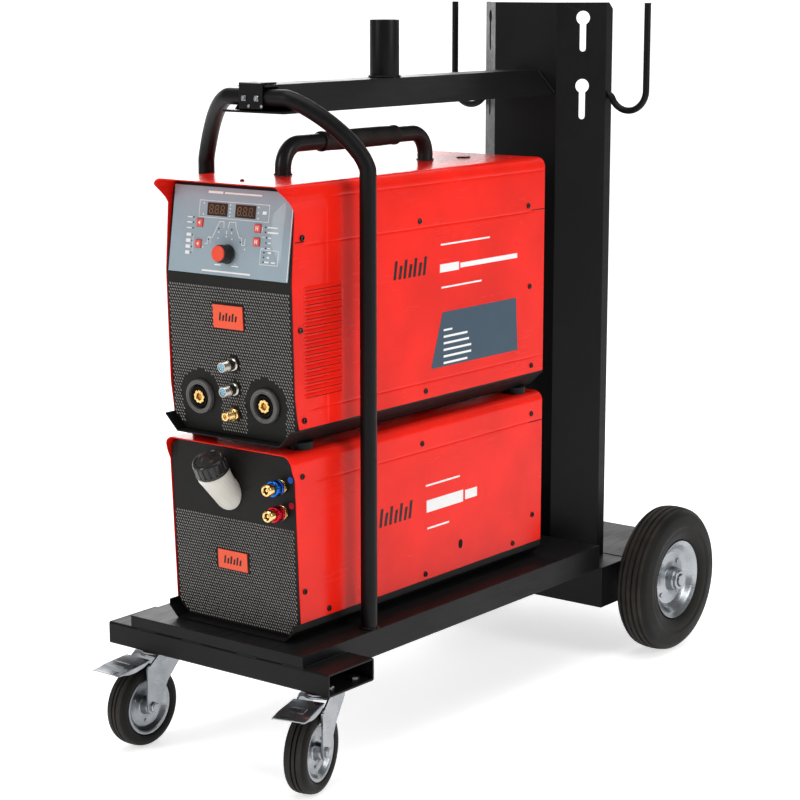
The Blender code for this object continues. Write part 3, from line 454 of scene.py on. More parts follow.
# Bright plated steel -----------------------------------------------------------------------------
# Casters, rims, nuts and the axle are pressed or turned steel, zinc plated: bright, faintly blue,
# with soft clouds where the plating is thicker. Turned brass and anodised metal share the recipe.
def plated(name, colour, second, roughness, spread, streak, clouds=9.0):
    """Bare or plated metal: two tones of plating in clouds, and streaks left by rolling or turning."""
    material = bpy.data.materials.new(name)
    material.use_nodes = True
    nodes, links = material.node_tree.nodes, material.node_tree.links
    nodes.clear()
    tone_frame = nodes.new("NodeFrame")
    tone_frame.label = "Clouds of the plating"
    gloss_frame = nodes.new("NodeFrame")
    gloss_frame.label = "Streaks and dulled patches"

    place = nodes.new("ShaderNodeTexCoord")
    place.label = "Place on the piece"
    cloud = nodes.new("ShaderNodeTexNoise")
    cloud.label = "Plating clouds"
    cloud.inputs["Scale"].default_value = clouds * 4
    cloud.inputs["Detail"].default_value = 5.0
    cloud.inputs["Distortion"].default_value = 0.6
    tones = nodes.new("ShaderNodeValToRGB")
    tones.label = "Bright to bluish"
    tones.color_ramp.elements[0].position = 0.35
    tones.color_ramp.elements[0].color = (*second, 1.0)
    tones.color_ramp.elements[1].position = 0.62
    tones.color_ramp.elements[1].color = (*colour, 1.0)

    rolled = nodes.new("ShaderNodeMapping")
    rolled.label = "Drawn out along the rolling"
    rolled.inputs["Scale"].default_value = (streak, streak, 8.0 * streak)
    lines = nodes.new("ShaderNodeTexNoise")
    lines.label = "Rolling lines"
    lines.inputs["Scale"].default_value = 6.0
    lines.inputs["Detail"].default_value = 6.0
    dull = nodes.new("ShaderNodeTexNoise")
    dull.label = "Dulled by handling"
    dull.inputs["Scale"].default_value = 24.0
    both = nodes.new("ShaderNodeMath")
    both.label = "Lines and dulling together"
    both.operation = "MULTIPLY"
    gloss = nodes.new("ShaderNodeMapRange")
    gloss.label = "Roughness of the plating"
    gloss.inputs["From Min"].default_value = 0.12
    gloss.inputs["From Max"].default_value = 0.42
    gloss.inputs["To Min"].default_value = roughness - spread
    gloss.inputs["To Max"].default_value = roughness + spread
    relief = nodes.new("ShaderNodeBump")
    relief.label = "Lines as relief"
    relief.inputs["Strength"].default_value = 0.12
    relief.inputs["Distance"].default_value = 0.0002

    shader = nodes.new("ShaderNodeBsdfPrincipled")
    shader.label = "Plated metal"
    shader.inputs["Metallic"].default_value = 1.0
    output = nodes.new("ShaderNodeOutputMaterial")
    output.label = "Surface"
    for frame_node, members in ((tone_frame, (cloud, tones)),
                                (gloss_frame, (rolled, lines, dull, both, gloss, relief))):
        for member in members:
            member.parent = frame_node
    for row, column in enumerate(((place, cloud, tones), (rolled, lines, dull, both, gloss, relief),
                                  (shader, output))):
        for i, node in enumerate(column):
            node.location = (220 * i + 1500 * (row == 2), -320 * (row % 2))

    links.new(place.outputs["Object"], cloud.inputs["Vector"])
    links.new(cloud.outputs["Fac"], tones.inputs["Fac"])
    links.new(tones.outputs["Color"], shader.inputs["Base Color"])
    links.new(place.outputs["Object"], rolled.inputs["Vector"])
    links.new(rolled.outputs["Vector"], lines.inputs["Vector"])
    links.new(place.outputs["Object"], dull.inputs["Vector"])
    links.new(lines.outputs["Fac"], both.inputs[0])
    links.new(dull.outputs["Fac"], both.inputs[1])
    links.new(both.outputs["Value"], gloss.inputs["Value"])
    links.new(gloss.outputs["Result"], shader.inputs["Roughness"])
    links.new(lines.outputs["Fac"], relief.inputs["Height"])
    links.new(relief.outputs["Normal"], shader.inputs["Normal"])
    links.new(shader.outputs["BSDF"], output.inputs["Surface"])
    return material


zinc = plated("bright zinc", (0.36, 0.38, 0.40), (0.27, 0.29, 0.31), 0.32, 0.08, 6.0, 5.0)


# Moulded rubber and plastic ----------------------------------------------------------------------
# Tyres, grip, knobs and panels are moulded. The colour is even, dusty grey where it is rubbed, and
# the skin has the fine grain of the mould. Tyres are browner on the tread, where they have rolled.
def moulded(name, colour, rubbed, roughness, spread, grain_scale, grain, sheen=0.0, clear=0.0):
    """Moulded skin: two tones in patches, roughness that follows them, and grain as relief."""
    material = bpy.data.materials.new(name)
    material.use_nodes = True
    nodes, links = material.node_tree.nodes, material.node_tree.links
    nodes.clear()
    tone_frame = nodes.new("NodeFrame")
    tone_frame.label = "Rubbed and clean patches"
    grain_frame = nodes.new("NodeFrame")
    grain_frame.label = "Grain of the mould"

    place = nodes.new("ShaderNodeTexCoord")
    place.label = "Place on the piece"
    patches = nodes.new("ShaderNodeTexNoise")
    patches.label = "Rubbed patches"
    patches.inputs["Scale"].default_value = 19.0
    patches.inputs["Detail"].default_value = 6.0
    patches.inputs["Roughness"].default_value = 0.62
    tones = nodes.new("ShaderNodeValToRGB")
    tones.label = "Clean to rubbed"
    tones.color_ramp.elements[0].position = 0.42
    tones.color_ramp.elements[0].color = (*colour, 1.0)
    tones.color_ramp.elements[1].position = 0.74
    tones.color_ramp.elements[1].color = (*rubbed, 1.0)
    gloss = nodes.new("ShaderNodeMapRange")
    gloss.label = "Rubbed is duller"
    gloss.inputs["From Min"].default_value = 0.3
    gloss.inputs["From Max"].default_value = 0.7
    gloss.inputs["To Min"].default_value = roughness - spread
    gloss.inputs["To Max"].default_value = roughness + spread
    cells = nodes.new("ShaderNodeTexVoronoi")
    cells.label = "Pebbles of the mould's skin"
    cells.inputs["Scale"].default_value = grain_scale
    fine = nodes.new("ShaderNodeTexNoise")
    fine.label = "Finer grain"
    fine.inputs["Scale"].default_value = grain_scale * 2.3
    height = nodes.new("ShaderNodeMath")
    height.label = "Pebbles and fine grain"
    height.operation = "ADD"
    relief = nodes.new("ShaderNodeBump")
    relief.label = "Grain as relief"
    relief.inputs["Strength"].default_value = grain
    relief.inputs["Distance"].default_value = 0.0003

    shader = nodes.new("ShaderNodeBsdfPrincipled")
    shader.label = "Moulded skin"
    shader.inputs["Specular IOR Level"].default_value = 0.16
    shader.inputs["Sheen Weight"].default_value = sheen
    shader.inputs["Coat Weight"].default_value = clear
    output = nodes.new("ShaderNodeOutputMaterial")
    output.label = "Surface"
    for frame_node, members in ((tone_frame, (patches, tones, gloss)),
                                (grain_frame, (cells, fine, height, relief))):
        for member in members:
            member.parent = frame_node
    for row, column in enumerate(((place, patches, tones, gloss), (cells, fine, height, relief),
                                  (shader, output))):
        for i, node in enumerate(column):
            node.location = (220 * i + 1100 * (row == 2), -320 * (row % 2))

    links.new(place.outputs["Object"], patches.inputs["Vector"])
    links.new(patches.outputs["Fac"], tones.inputs["Fac"])
    links.new(patches.outputs["Fac"], gloss.inputs["Value"])
    links.new(tones.outputs["Color"], shader.inputs["Base Color"])
    links.new(gloss.outputs["Result"], shader.inputs["Roughness"])
    links.new(place.outputs["Object"], cells.inputs["Vector"])
    links.new(place.outputs["Object"], fine.inputs["Vector"])
    links.new(cells.outputs["Distance"], height.inputs[0])
    links.new(fine.outputs["Fac"], height.inputs[1])
    links.new(height.outputs["Value"], relief.inputs["Height"])
    links.new(relief.outputs["Normal"], shader.inputs["Normal"])
    links.new(shader.outputs["BSDF"], output.inputs["Surface"])
    return material


tyre_rubber = moulded("tyre rubber", (0.0060, 0.0057, 0.0052), (0.013, 0.012, 0.010), 0.58, 0.10, 380.0,
                      0.35)
tread_rubber = moulded("tread rubber", (0.020, 0.018, 0.016), (0.045, 0.040, 0.034), 0.82, 0.08, 300.0, 0.6)


# Rear wheels -------------------------------------------------------------------------------------
# Solid rubber tyres, 250 mm across, with three worn ribs between four grooves. They sit on pressed
# disc rims with a hub, four rivets and a spring washer, and turn on the 20 mm axle.
def both_sides(half):
    """A half outline from the middle plane outwards, with its mirror image, as one closed outline."""
    half = np.asarray(half, float)
    return np.concatenate([half[::-1] * [1, -1], half])


def groove(heights, depth, width):
    """Ripple of the radius: minus depth wherever the height is within half a width of a groove."""
    def ripple(height, angle):
        nearest = np.min(np.abs(height[..., None] - np.array(heights)), axis=-1)
        return -depth * np.clip(1.4 - 1.4 * (nearest / (width / 2)) ** 4, 0, 1) + 0 * angle
    return ripple


def tyre(name, half, grooves, depth, width, centre, axle, body, nodes, tread_from):
    """Tyre outline turned round the axle, with grooves cut into its tread and worn ribs between."""
    centre, axle = np.array(centre), np.array(axle)
    outline = eased(both_sides(half), 0.004, 5)
    length = np.concatenate([[0], np.cumsum(np.linalg.norm(np.diff(outline, axis=0), axis=1))])
    even = np.linspace(0, length[-1], 190)
    outline = np.stack([np.interp(even, length, outline[:, i]) for i in (0, 1)], axis=-1)
    grid = turning(outline, centre, axle, 96, groove(grooves, depth, width))
    piece = skin(name, grid, tyre_rubber, loop=True, crease=50)
    piece.data.materials.append(tread_rubber)
    from_hub = grid[:, 0] - centre
    radius = np.linalg.norm(from_hub - (from_hub @ axle)[:, None] * axle, axis=1)
    worn = np.where(radius > tread_from)[0]
    middle = np.empty(len(piece.data.polygons) * 3, np.float32)
    piece.data.polygons.foreach_get("center", middle)
    middle = middle.reshape(-1, 3) - centre
    away = np.linalg.norm(middle - (middle @ axle)[:, None] * axle, axis=1)
    across = np.abs(middle @ axle)
    on_tread = (away > tread_from) & (across < abs(outline[worn, 1]).max() - 0.001)
    piece.data.polygons.foreach_set("material_index", on_tread.astype(np.int32))
    return fitted(piece, body, "tyre", *nodes)


def stud(centre, axis, radius, height, corners=6, dome=0.25):
    """Bolt head: a prism of few sides under a shallow dome, standing on its centre along an axis. More
    than eight corners make a round head."""
    outline = np.array([[0, -height * 0.3], [radius, -height * 0.3], [radius, height * (1 - dome)],
                        [radius * 0.86, height], [0, height]])
    return turning(eased(outline, radius * 0.08, 3), centre, axis, corners * 4 if corners > 8 else corners)


def gathered(name, grids, material, crease=32, loops=False):
    """Several closed surfaces as the one mesh of one piece."""
    parts = [skin(f"{name}_{i}", grid, material, loop=loops, crease=crease) for i, grid in enumerate(grids)]
    shape = bmesh.new()
    for part in parts:
        shape.from_mesh(part.data)
    whole = parts[0]
    for part in parts[1:]:
        bpy.data.objects.remove(part)
    shape.to_mesh(whole.data)
    shape.free()
    whole.name = name
    whole.data.name = name
    whole.data.set_sharp_from_angle(angle=radians(crease))
    return whole


def rim(name, face, centre, axle, body, node, studs, stud_radius):
    """Disc rim: its outline and mirror image turned round the axle, and bolt heads on both faces."""
    centre, axle = np.array(centre, float), np.array(axle, float)
    shell = turning(eased(both_sides(face), 0.0022, 5), centre, axle, 96)
    heads = []
    _, first, second = frame_round(axle)
    for k in range(studs):
        angle = 2 * pi * (k + 0.5) / studs
        for side in (1, -1):
            outward = cos(angle) * first + sin(angle) * second
            foot = centre + side * axle * stud_radius[1] + stud_radius[0] * outward
            heads.append(stud(foot, side * axle, stud_radius[2], 0.0022, 12))
    plate = skin(f"{name}_disc", shell, zinc, loop=True)
    rivets = gathered(f"{name}_rivets", heads, zinc)
    fitted(plate, body, "zinc", node)
    fitted(rivets, body, "zinc")


for name, side in (("left", -1), ("right", 1)):
    low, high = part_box(f"rear_{name}_tyre")
    hub = ((low.x + high.x) / 2, (low.y + high.y) / 2, (low.z + high.z) / 2)
    tyre(f"rear_tyre_{name}", [(0.1246, 0.0005), (0.1244, 0.008), (0.1224, 0.0198), (0.1140, 0.0283),
                               (0.1000, 0.0304), (0.0930, 0.0306), (0.0905, 0.0292), (0.0820, 0.0288),
                               (0.0740, 0.0262), (0.0690, 0.0225), (0.0682, 0.0170)],
         (-0.0150, -0.0050, 0.0050, 0.0150), 0.0042, 0.0034, hub, (1, 0, 0), f"rear_{name}_wheel",
         [f"rear_{name}_tyre"], 0.1195)
    rim(f"rear_rim_{name}", [(0.0104, 0.0296), (0.0168, 0.0296), (0.0172, 0.0240), (0.0192, 0.0225),
                             (0.0205, 0.0100), (0.0300, 0.0075), (0.0445, 0.0065), (0.0520, 0.0110),
                             (0.0595, 0.0195), (0.0660, 0.0228), (0.0676, 0.0238), (0.0676, 0.0170)],
        hub, (1, 0, 0), f"rear_{name}_wheel", f"rear_{name}_rim", 4, (0.036, 0.0070, 0.0042))
axle_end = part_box("rear_axle")[1].x
axle_y, axle_z = hub[1], hub[2]
bar = eased([(0, -axle_end), (0.0098, -axle_end), (0.0098, axle_end), (0, axle_end)], 0.0012)
fitted(skin("axle_bar", turning(bar, (0, axle_y, axle_z), (1, 0, 0), 40), zinc), "cart", "zinc",
       "rear_axle")


# Swivel casters ----------------------------------------------------------------------------------
# Each has a pressed plate bolted under the beam, a race with a red seal, a pressed fork, a wheel
# with a grooved rubber tyre on a steel rim, and a brake pedal with a turned-up toe.
seal_red = moulded("red seal", (0.55, 0.020, 0.012), (0.60, 0.06, 0.04), 0.42, 0.06, 200.0, 0.1)
caster_spot = {}
for joint in frame["joints"]:
    if joint["name"].startswith("caster") and joint["name"].endswith(("turn", "spin")):
        caster_spot[joint["name"]] = (np.array(joint["pos_m"]), np.array(joint["axis"]))
for name in ("left", "right"):
    swivel, _ = caster_spot[f"caster_{name}_turn"]
    hub, axle = caster_spot[f"caster_{name}_spin"]
    ahead = np.array((axle[1], -axle[0], 0.0))
    tyre(f"caster_tyre_{name}", [(0.0622, 0.0005), (0.0619, 0.009), (0.0598, 0.0152), (0.0540, 0.0177),
                                 (0.0490, 0.0172), (0.0450, 0.0158), (0.0446, 0.0120)],
         (-0.0034, 0.0034), 0.0026, 0.0024, hub, axle, f"caster_{name}_wheel", [f"caster_{name}_tyre"],
         0.0605)
    rim(f"caster_rim_{name}", [(0.0064, 0.0203), (0.0112, 0.0203), (0.0122, 0.0165), (0.0132, 0.0072),
                               (0.0250, 0.0064), (0.0335, 0.0078), (0.0385, 0.0140), (0.0425, 0.0152),
                               (0.0441, 0.0152), (0.0441, 0.0120)],
        hub, axle, f"caster_{name}_wheel", f"caster_{name}_rim", 3, (0.024, 0.0060, 0.0024))
    finish_node(f"caster_{name}_fork", zinc, 0.0012)
    finish_node(f"caster_{name}_plate", zinc, 0.0010)
    seal = eased([(0.0235, 0.1416), (0.0252, 0.1416), (0.0252, 0.1452), (0.0235, 0.1452), (0.0235, 0.1416)],
                 0.0005)
    fitted(skin(f"caster_seal_{name}", turning(seal, (swivel[0], swivel[1], 0), (0, 0, 1)), seal_red,
                loop=True),
           "cart", "zinc")
    bolts = [stud(hub + side * axle * 0.0247, side * axle, 0.0085, 0.0042) for side in (-1, 1)]
    below = np.array([swivel[0], swivel[1], 0.0])
    pivot = below + ahead * 0.047 + (0, 0, 0.126)
    bolts += [stud(pivot + side * axle * 0.0243, side * axle, 0.0035, 0.0020, 12) for side in (1, -1)]
    fitted(gathered(f"caster_bolts_{name}", bolts, zinc), f"caster_{name}_swivel", "zinc")

    # Pedal: a pressed channel that slopes down from the fork, with side skirts, a raised grip and a toe.
    reach = np.array([0.0452, 0.0600, 0.0760, 0.0860, 0.0930, 0.0975, 0.1020, 0.1110, 0.1163])
    height = np.array([0.1384, 0.1371, 0.1358, 0.1349, 0.1340, 0.1329, 0.1319, 0.1314, 0.1320])
    half_width = np.array([0.0246, 0.0252, 0.0258, 0.0262, 0.0264, 0.0264, 0.0262, 0.0258, 0.0240])
    skirt = np.array([0.0030, 0.0075, 0.0090, 0.0084, 0.0070, 0.0050, 0.0034, 0.0028, 0.0022])
    along = np.linspace(reach[0], reach[-1], 60)
    rise, half_width, skirt = (np.interp(along, reach, v) for v in (height, half_width, skirt))
    across = np.array([-1, -1, -0.985, -0.955, -0.5, -0.48, 0.48, 0.5, 0.955, 0.985, 1, 1,
                       0.93, 0.93, 0.90, 0, -0.90, -0.93, -0.93])
    drop = np.array([1, 0.2, 0.08, 0, 0, 0, 0, 0, 0, 0.08, 0.2, 1, 1, 0.34, 0.30, 0.30, 0.30, 0.34, 1])
    thick = np.array([0] * 13 + [0.0007] * 5 + [0])
    grip = np.exp(-((along - 0.0825) / 0.0085) ** 6)[:, None] * 0.0011
    lift = (np.abs(across) == 0.48).astype(float)
    z = rise[:, None] - skirt[:, None] * drop - thick + grip * lift
    pedal = below + ahead * along[:, None, None] + axle * (half_width[:, None] * across)[..., None]
    pedal[..., 2] = np.clip(z, 0.1262, 0.1386)
    fitted(skin(f"caster_pedal_{name}", pedal, zinc, crease=28), f"caster_{name}_brake", "zinc",
           f"caster_{name}_pedal")

    # Bolts of the plate, seen inside the beam's open ends.
    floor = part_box("front_beam")[0].z + 0.003
    nuts = [stud((swivel[0] + i * 0.036, swivel[1] + j * 0.029, floor), (0, 0, 1), 0.0075, 0.0065)
            for i in (-1, 1) for j in (-1, 1)]
    fitted(gathered(f"beam_nuts_{name}", nuts, zinc), "cart", "zinc")


# Hoop clamp --------------------------------------------------------------------------------------
# The folded plate closes on the hoop's top tube with two screws through square washers; its front
# edges have rubbed through to bright steel.
clamp_low, clamp_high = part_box("hoop_clamp")
worn_steel = plated("worn steel", (0.52, 0.52, 0.53), (0.20, 0.20, 0.21), 0.34, 0.10, 30.0)
clamp_parts = []
washer_z, screw_z = 0.9750, 0.9640
for x in (-0.0120, 0.0120):
    clamp_parts.append(stud((x, clamp_low.y + 0.0004, washer_z), (0, -1, 0), 0.0056, 0.0020, 4, 0.1))
    clamp_parts.append(stud((x, clamp_low.y - 0.0012, washer_z), (0, -1, 0), 0.0032, 0.0024, 6))
    clamp_parts.append(stud((x + 0.009, clamp_low.y + 0.0004, screw_z), (0, -1, 0), 0.0024, 0.0016, 12))
fitted(gathered("clamp_screws", clamp_parts, zinc), "cart", "zinc")
edge_x = np.linspace(clamp_low.x + 0.0010, clamp_high.x - 0.0010, 30)
rubbed_edge = np.stack([edge_x, np.full(30, clamp_low.y + 0.0006), np.full(30, clamp_high.z - 0.0006)],
                       axis=-1)
fitted(skin("clamp_rubbed_edge", tube(rubbed_edge, (0, 1, 0), 0.0007, 12), worn_steel), "cart", "zinc")


# Red covers --------------------------------------------------------------------------------------
# Each case has one folded cover of 1.5 mm sheet, open below, in gloss red enamel. Its front edge
# runs forward at the top as a hood, and pressed creases run along its sides.
enamel = coated_metal("red enamel", (0.80, 0.014, 0.006), 0.0, 0.24, 0.05, 0.08, 0.11, 240.0, 0.05)
blackened = plated("blackened steel", (0.045, 0.042, 0.040), (0.020, 0.019, 0.018), 0.30, 0.08, 8.0)
case_half = 0.1215
case_length = 0.615
case_sheet = 0.0015
fold_radius = 0.015
welder_roof = 0.861
cooler_roof = 0.480


def folded_cover(name, node, skirt, roof, edge_z, edge_y, creases, recess):
    """Section: side from the skirt to the fold, quarter circle, roof, mirrored. Each point moves in
    by the depth of the creases, depth exp(-(dz / width)^2), and of a recessed front field."""
    beside = [skirt + 0.0006, roof - fold_radius]
    for line_z, *_ in creases:
        beside += list(line_z + np.array([-0.0030, -0.0018, -0.0010, -0.0004, 0, 0.0004, 0.0010, 0.0018,
                                          0.0030]))
    beside = np.unique(np.concatenate([np.linspace(skirt, roof - fold_radius, 46), beside]))
    fold = np.linspace(0, pi / 2, 13)[1:]
    roof_x = np.linspace(case_half - fold_radius, 0, 12)[1:]
    x = np.concatenate([np.full(beside.shape, case_half), case_half - fold_radius * (1 - np.cos(fold)),
                        roof_x])
    z = np.concatenate([beside, roof - fold_radius * (1 - np.sin(fold)), np.full(roof_x.shape, roof)])
    out_x = np.concatenate([np.ones(beside.shape), np.cos(fold), np.zeros(roof_x.shape)])
    out_z = np.concatenate([np.zeros(beside.shape), np.sin(fold), np.ones(roof_x.shape)])
    x, z = np.concatenate([-x, x[-2::-1]]), np.concatenate([z, z[-2::-1]])
    out_x, out_z = np.concatenate([-out_x, out_x[-2::-1]]), np.concatenate([out_z, out_z[-2::-1]])

    back = np.concatenate([[0, 0.0004, 0.0012, 0.003], np.linspace(0.006, 0.056, 15),
                           np.linspace(0.058, 0.070, 13), np.linspace(0.08, case_length - 0.003, 30),
                           [case_length - 0.0006, case_length]])
    hood = np.interp(z, edge_z, edge_y)[:, None]
    blend = np.clip(1 - back / 0.056, 0, 1)[None, :]
    y = hood * blend + back[None, :]
    sink = np.zeros_like(y)
    for line_z, depth, start, end in creases:
        ends = np.clip((y - start) / 0.012, 0, 1) * np.clip((end - y) / 0.012, 0, 1)
        sink += depth * ends * np.exp(-((z[:, None] - line_z) / 0.0013) ** 2) * (np.abs(out_z[:,
                                                                                              None]) < 0.9)
    if recess:
        field_y, field_z, field_depth = recess
        round_off = np.hypot(np.clip(y - field_y + 0.012, 0, None),
                             np.clip(z[:, None] - field_z + 0.012, 0, None))
        sink += field_depth * np.clip((0.012 - round_off) / 0.003, 0, 1) * (np.abs(out_z[:, None]) < 0.1)
    sink *= np.clip((z[:, None] - skirt) / 0.012, 0, 1)

    def layer(depth, trim):
        shift = sink + depth
        inner_y = y + trim * (blend > 0.99) - trim * (back > case_length - 0.0003)[None, :]
        return np.stack([x[:, None] - out_x[:, None] * shift, front + inner_y,
                         z[:, None] - out_z[:, None] * shift], axis=-1)

    outside, inside = layer(0.0, 0.0004), layer(case_sheet, 0.0004)
    rim_outer, rim_inner = layer(0.0004, 0.0), layer(case_sheet - 0.0004, 0.0)
    ring = np.concatenate([rim_outer[:, :1], outside, rim_outer[:, -1:], rim_inner[:, -1:],
                           inside[:, ::-1], rim_inner[:, :1]], axis=1)
    return fitted(skin(name, ring, enamel, crease=50), "cart", "case_red", node)


welder_creases = [(0.777, 0.00055, 0.016, 0.580), (0.841, 0.00045, 0.060, 0.600),
                  (0.541, 0.00045, 0.020, 0.600)]
folded_cover("welder_cover_red", "welder_cover", 0.515, welder_roof,
             [0.515, 0.560, 0.725, 0.826, 0.838, 0.853], [0, -0.007, -0.012, -0.005, -0.017, -0.0355],
             welder_creases, (0.066, 0.834, 0.0007))
folded_cover("cooler_cover_red", "cooler_cover", 0.2305, cooler_roof,
             [0.2305, 0.4447, 0.456, 0.4735], [0, -0.0105, -0.0158, -0.0205],
             [(0.435, 0.0005, 0.030, 0.600)], None)


# Cover fittings ----------------------------------------------------------------------------------
# Black round-head screws hold the covers. Pressed louvres cool the inverter behind its front edge,
# and the creases open into short slits at their ends.
def socket_screw(centre, axis, radius=0.0044):
    """Round head with a hexagon socket: a dome that turns down into a narrow well."""
    outline = np.array([[0, -0.0006], [radius, -0.0006], [radius, 0.0008], [radius * 0.86, 0.0020],
                        [radius * 0.5, 0.0027], [radius * 0.44, 0.0026], [radius * 0.42, 0.0012],
                        [0, 0.0012]])
    return turning(outline, centre, axis, 20)


def sheet_slit(side, start, end, z, height):
    """Thin dark strip that lies 0.2 mm proud of a case's side."""
    face = side * (case_half + np.array([-0.0002, 0.0002]))
    ring = np.array([[start, z - height / 2], [end, z - height / 2], [end, z + height / 2],
                     [start, z + height / 2]])
    return np.stack([np.stack([np.full(4, x), front + ring[:, 0], ring[:, 1]], axis=-1) for x in face])


def pressed_louvre(side, start, end, z):
    """Blade that swells out of the side towards its lower lip; its ends are quarter ellipses."""
    across = np.array([-0.0008, 0.0000, 0.0006, 0.0013, 0.0018, 0.0019, 0.0012, -0.0008])
    down = np.array([0.0030, 0.0028, 0.0018, 0.0000, -0.0016, -0.0023, -0.0026, -0.0026])
    t = np.linspace(0, 1, 30)
    along = start + (end - start) * t
    nearest = np.minimum(along - start, end - along)
    swell = np.sqrt(np.clip(1 - (1 - np.clip(nearest / 0.0042, 0, 1)) ** 2, 0.0004, 1))
    proud = np.where(across > 0, across * swell[:, None], across)
    tall = down * (0.35 + 0.65 * swell[:, None])
    return np.stack([side * (case_half + proud), np.repeat(front + along[:, None], 8, 1), z + tall],
                    axis=-1)


welder_screws = [(0.787, 0.009), (0.787, 0.281), (0.787, 0.568), (0.657, 0.004), (0.657, 0.574),
                 (0.527, 0.011), (0.527, 0.297), (0.527, 0.581)]
cooler_screws = [(0.447, 0.005), (0.447, 0.288), (0.447, 0.583), (0.277, 0.0085), (0.277, 0.589),
                 (0.240, 0.063), (0.240, 0.297), (0.240, 0.533)]
for name, spots in (("welder", welder_screws), ("cooler", cooler_screws)):
    heads = [socket_screw((side * case_half, front + y, z), (side, 0, 0)) for z,
             y in spots for side in (-1, 1)]
    fitted(gathered(f"{name}_cover_screws", heads, blackened), "cart", "zinc")
near_black = moulded("open joint", (0.004, 0.004, 0.004), (0.008, 0.007, 0.007), 0.75, 0.05, 200.0, 0.1)
slits = [sheet_slit(side, start, end, z, 0.0012) for side in (-1, 1)
         for start, end, z in ((-0.006, 0.013, 0.7815), (0.576, 0.6145, 0.7790), (0.576, 0.6145, 0.4330))]
louvres = []
for side in (-1, 1):
    for i in range(16):
        z = 0.562 + i * 0.0102
        louvres.append(pressed_louvre(side, 0.012, 0.099, z))
        slits.append(sheet_slit(side, 0.016, 0.095, z - 0.0032, 0.0011))
fitted(gathered("cover_slits", slits, near_black), "cart", "case_red")
fitted(gathered("welder_louvres", louvres, enamel, crease=60), "cart", "case_red")
blind = [turning(eased([(0, -0.0004), (0.0056, -0.0004), (0.0056, 0.0003), (0, 0.0003)], 0.0002),
                 (side * case_half, front + 0.389, 0.269), (side, 0, 0), 32) for side in (-1, 1)]
for plug in blind:
    plug[..., 2] = 0.269 + (plug[..., 2] - 0.269) * 1.35
fitted(gathered("cooler_blind_holes", blind, near_black), "cart", "case_red")
roof_screw = socket_screw((0.015, front + 0.005, welder_roof), (0, 0, 1), 0.0035)
roof_plug = turning(eased([(0, -0.0005), (0.0112, -0.0005), (0.0112, 0.0014), (0.0098, 0.0024),
                           (0, 0.0024)], 0.0006),
                    (0.020, front + 0.531, welder_roof), (0, 0, 1), 40)
fitted(gathered("roof_fittings", [roof_screw, roof_plug], blackened), "cart", "zinc")


# Printed marks -----------------------------------------------------------------------------------
# Prints are thin raised films. Words and names are stood in for by plain bars. A mark is a closed
# outline (a, b) laid on a surface: on_side, on_fascia or on_grille turn (a, b, lift) into a place.
def raised(outline, surface, low, high):
    """Prism over a closed outline, from one lift above the surface to another."""
    outline = np.asarray(outline, float)
    return np.stack([surface(outline[:, 0], outline[:, 1], lift) for lift in (low, high)])


def block(a, b, width, height, lean=0.0):
    """Bar centred on (a, b), whose top is shifted by lean."""
    return [(a - width / 2, b - height / 2), (a + width / 2, b - height / 2),
            (a + width / 2 + lean, b + height / 2), (a - width / 2 + lean, b + height / 2)]


def spot(a, b, radius, sides=14):
    """Disc round (a, b)."""
    angle = np.linspace(0, 2 * pi, sides, endpoint=False)
    return np.stack([a + radius * np.cos(angle), b + radius * np.sin(angle)], axis=-1)


def stroke(points, width):
    """Outline of a line of even width through points: points + n w / 2 and back along points - n w / 2."""
    points = np.asarray(points, float)
    ahead = np.diff(points, axis=0)
    ahead /= np.linalg.norm(ahead, axis=1, keepdims=True)
    before, after = np.vstack([ahead[:1], ahead]), np.vstack([ahead, ahead[-1:]])
    mean = before + after
    mean /= np.linalg.norm(mean, axis=1, keepdims=True)
    normal = np.stack([-mean[:, 1], mean[:, 0]], axis=-1)
    reach = width / 2 / np.clip(np.sum(mean * after, axis=1, keepdims=True), 0.5, 1)
    return np.concatenate([points + normal * reach, (points - normal * reach)[::-1]])


def marks(name, outlines, surface, material, body, slot, low=-0.0003, high=0.00025):
    """All the marks of one print, in one piece."""
    return fitted(gathered(name, [raised(o, surface, low, high) for o in outlines], material), body, slot)


def on_side(side):
    """Side of a case: a runs back from the front, b is the height."""
    def surface(a, b, lift):
        return np.stack([side * (case_half + lift) + 0 * a, front + a, b + 0 * a], axis=-1)
    return surface


white_ink = moulded("white print", (0.86, 0.86, 0.85), (0.78, 0.78, 0.77), 0.42, 0.05, 900.0, 0.03)
black_ink = moulded("black print", (0.012, 0.011, 0.011), (0.020, 0.019, 0.018), 0.40, 0.05, 900.0, 0.03)
slate_film = moulded("slate film", (0.046, 0.078, 0.112), (0.054, 0.088, 0.124), 0.45, 0.05, 900.0, 0.03)
badge_orange = moulded("badge orange", (0.86, 0.085, 0.028), (0.80, 0.10, 0.04), 0.34, 0.05, 500.0, 0.05,
                       0.0, 0.3)


def slanted_emblem(a, b, width, height, bars):
    """Stand-in for a name: upright bars that lean, every other one shorter."""
    pitch = width / bars
    return [block(a - width / 2 + pitch * (i + 0.4), b - height * 0.14 * (i % 2), pitch * 0.52,
                  height * (1.0 - 0.28 * (i % 2)), height * 0.16) for i in range(bars)]


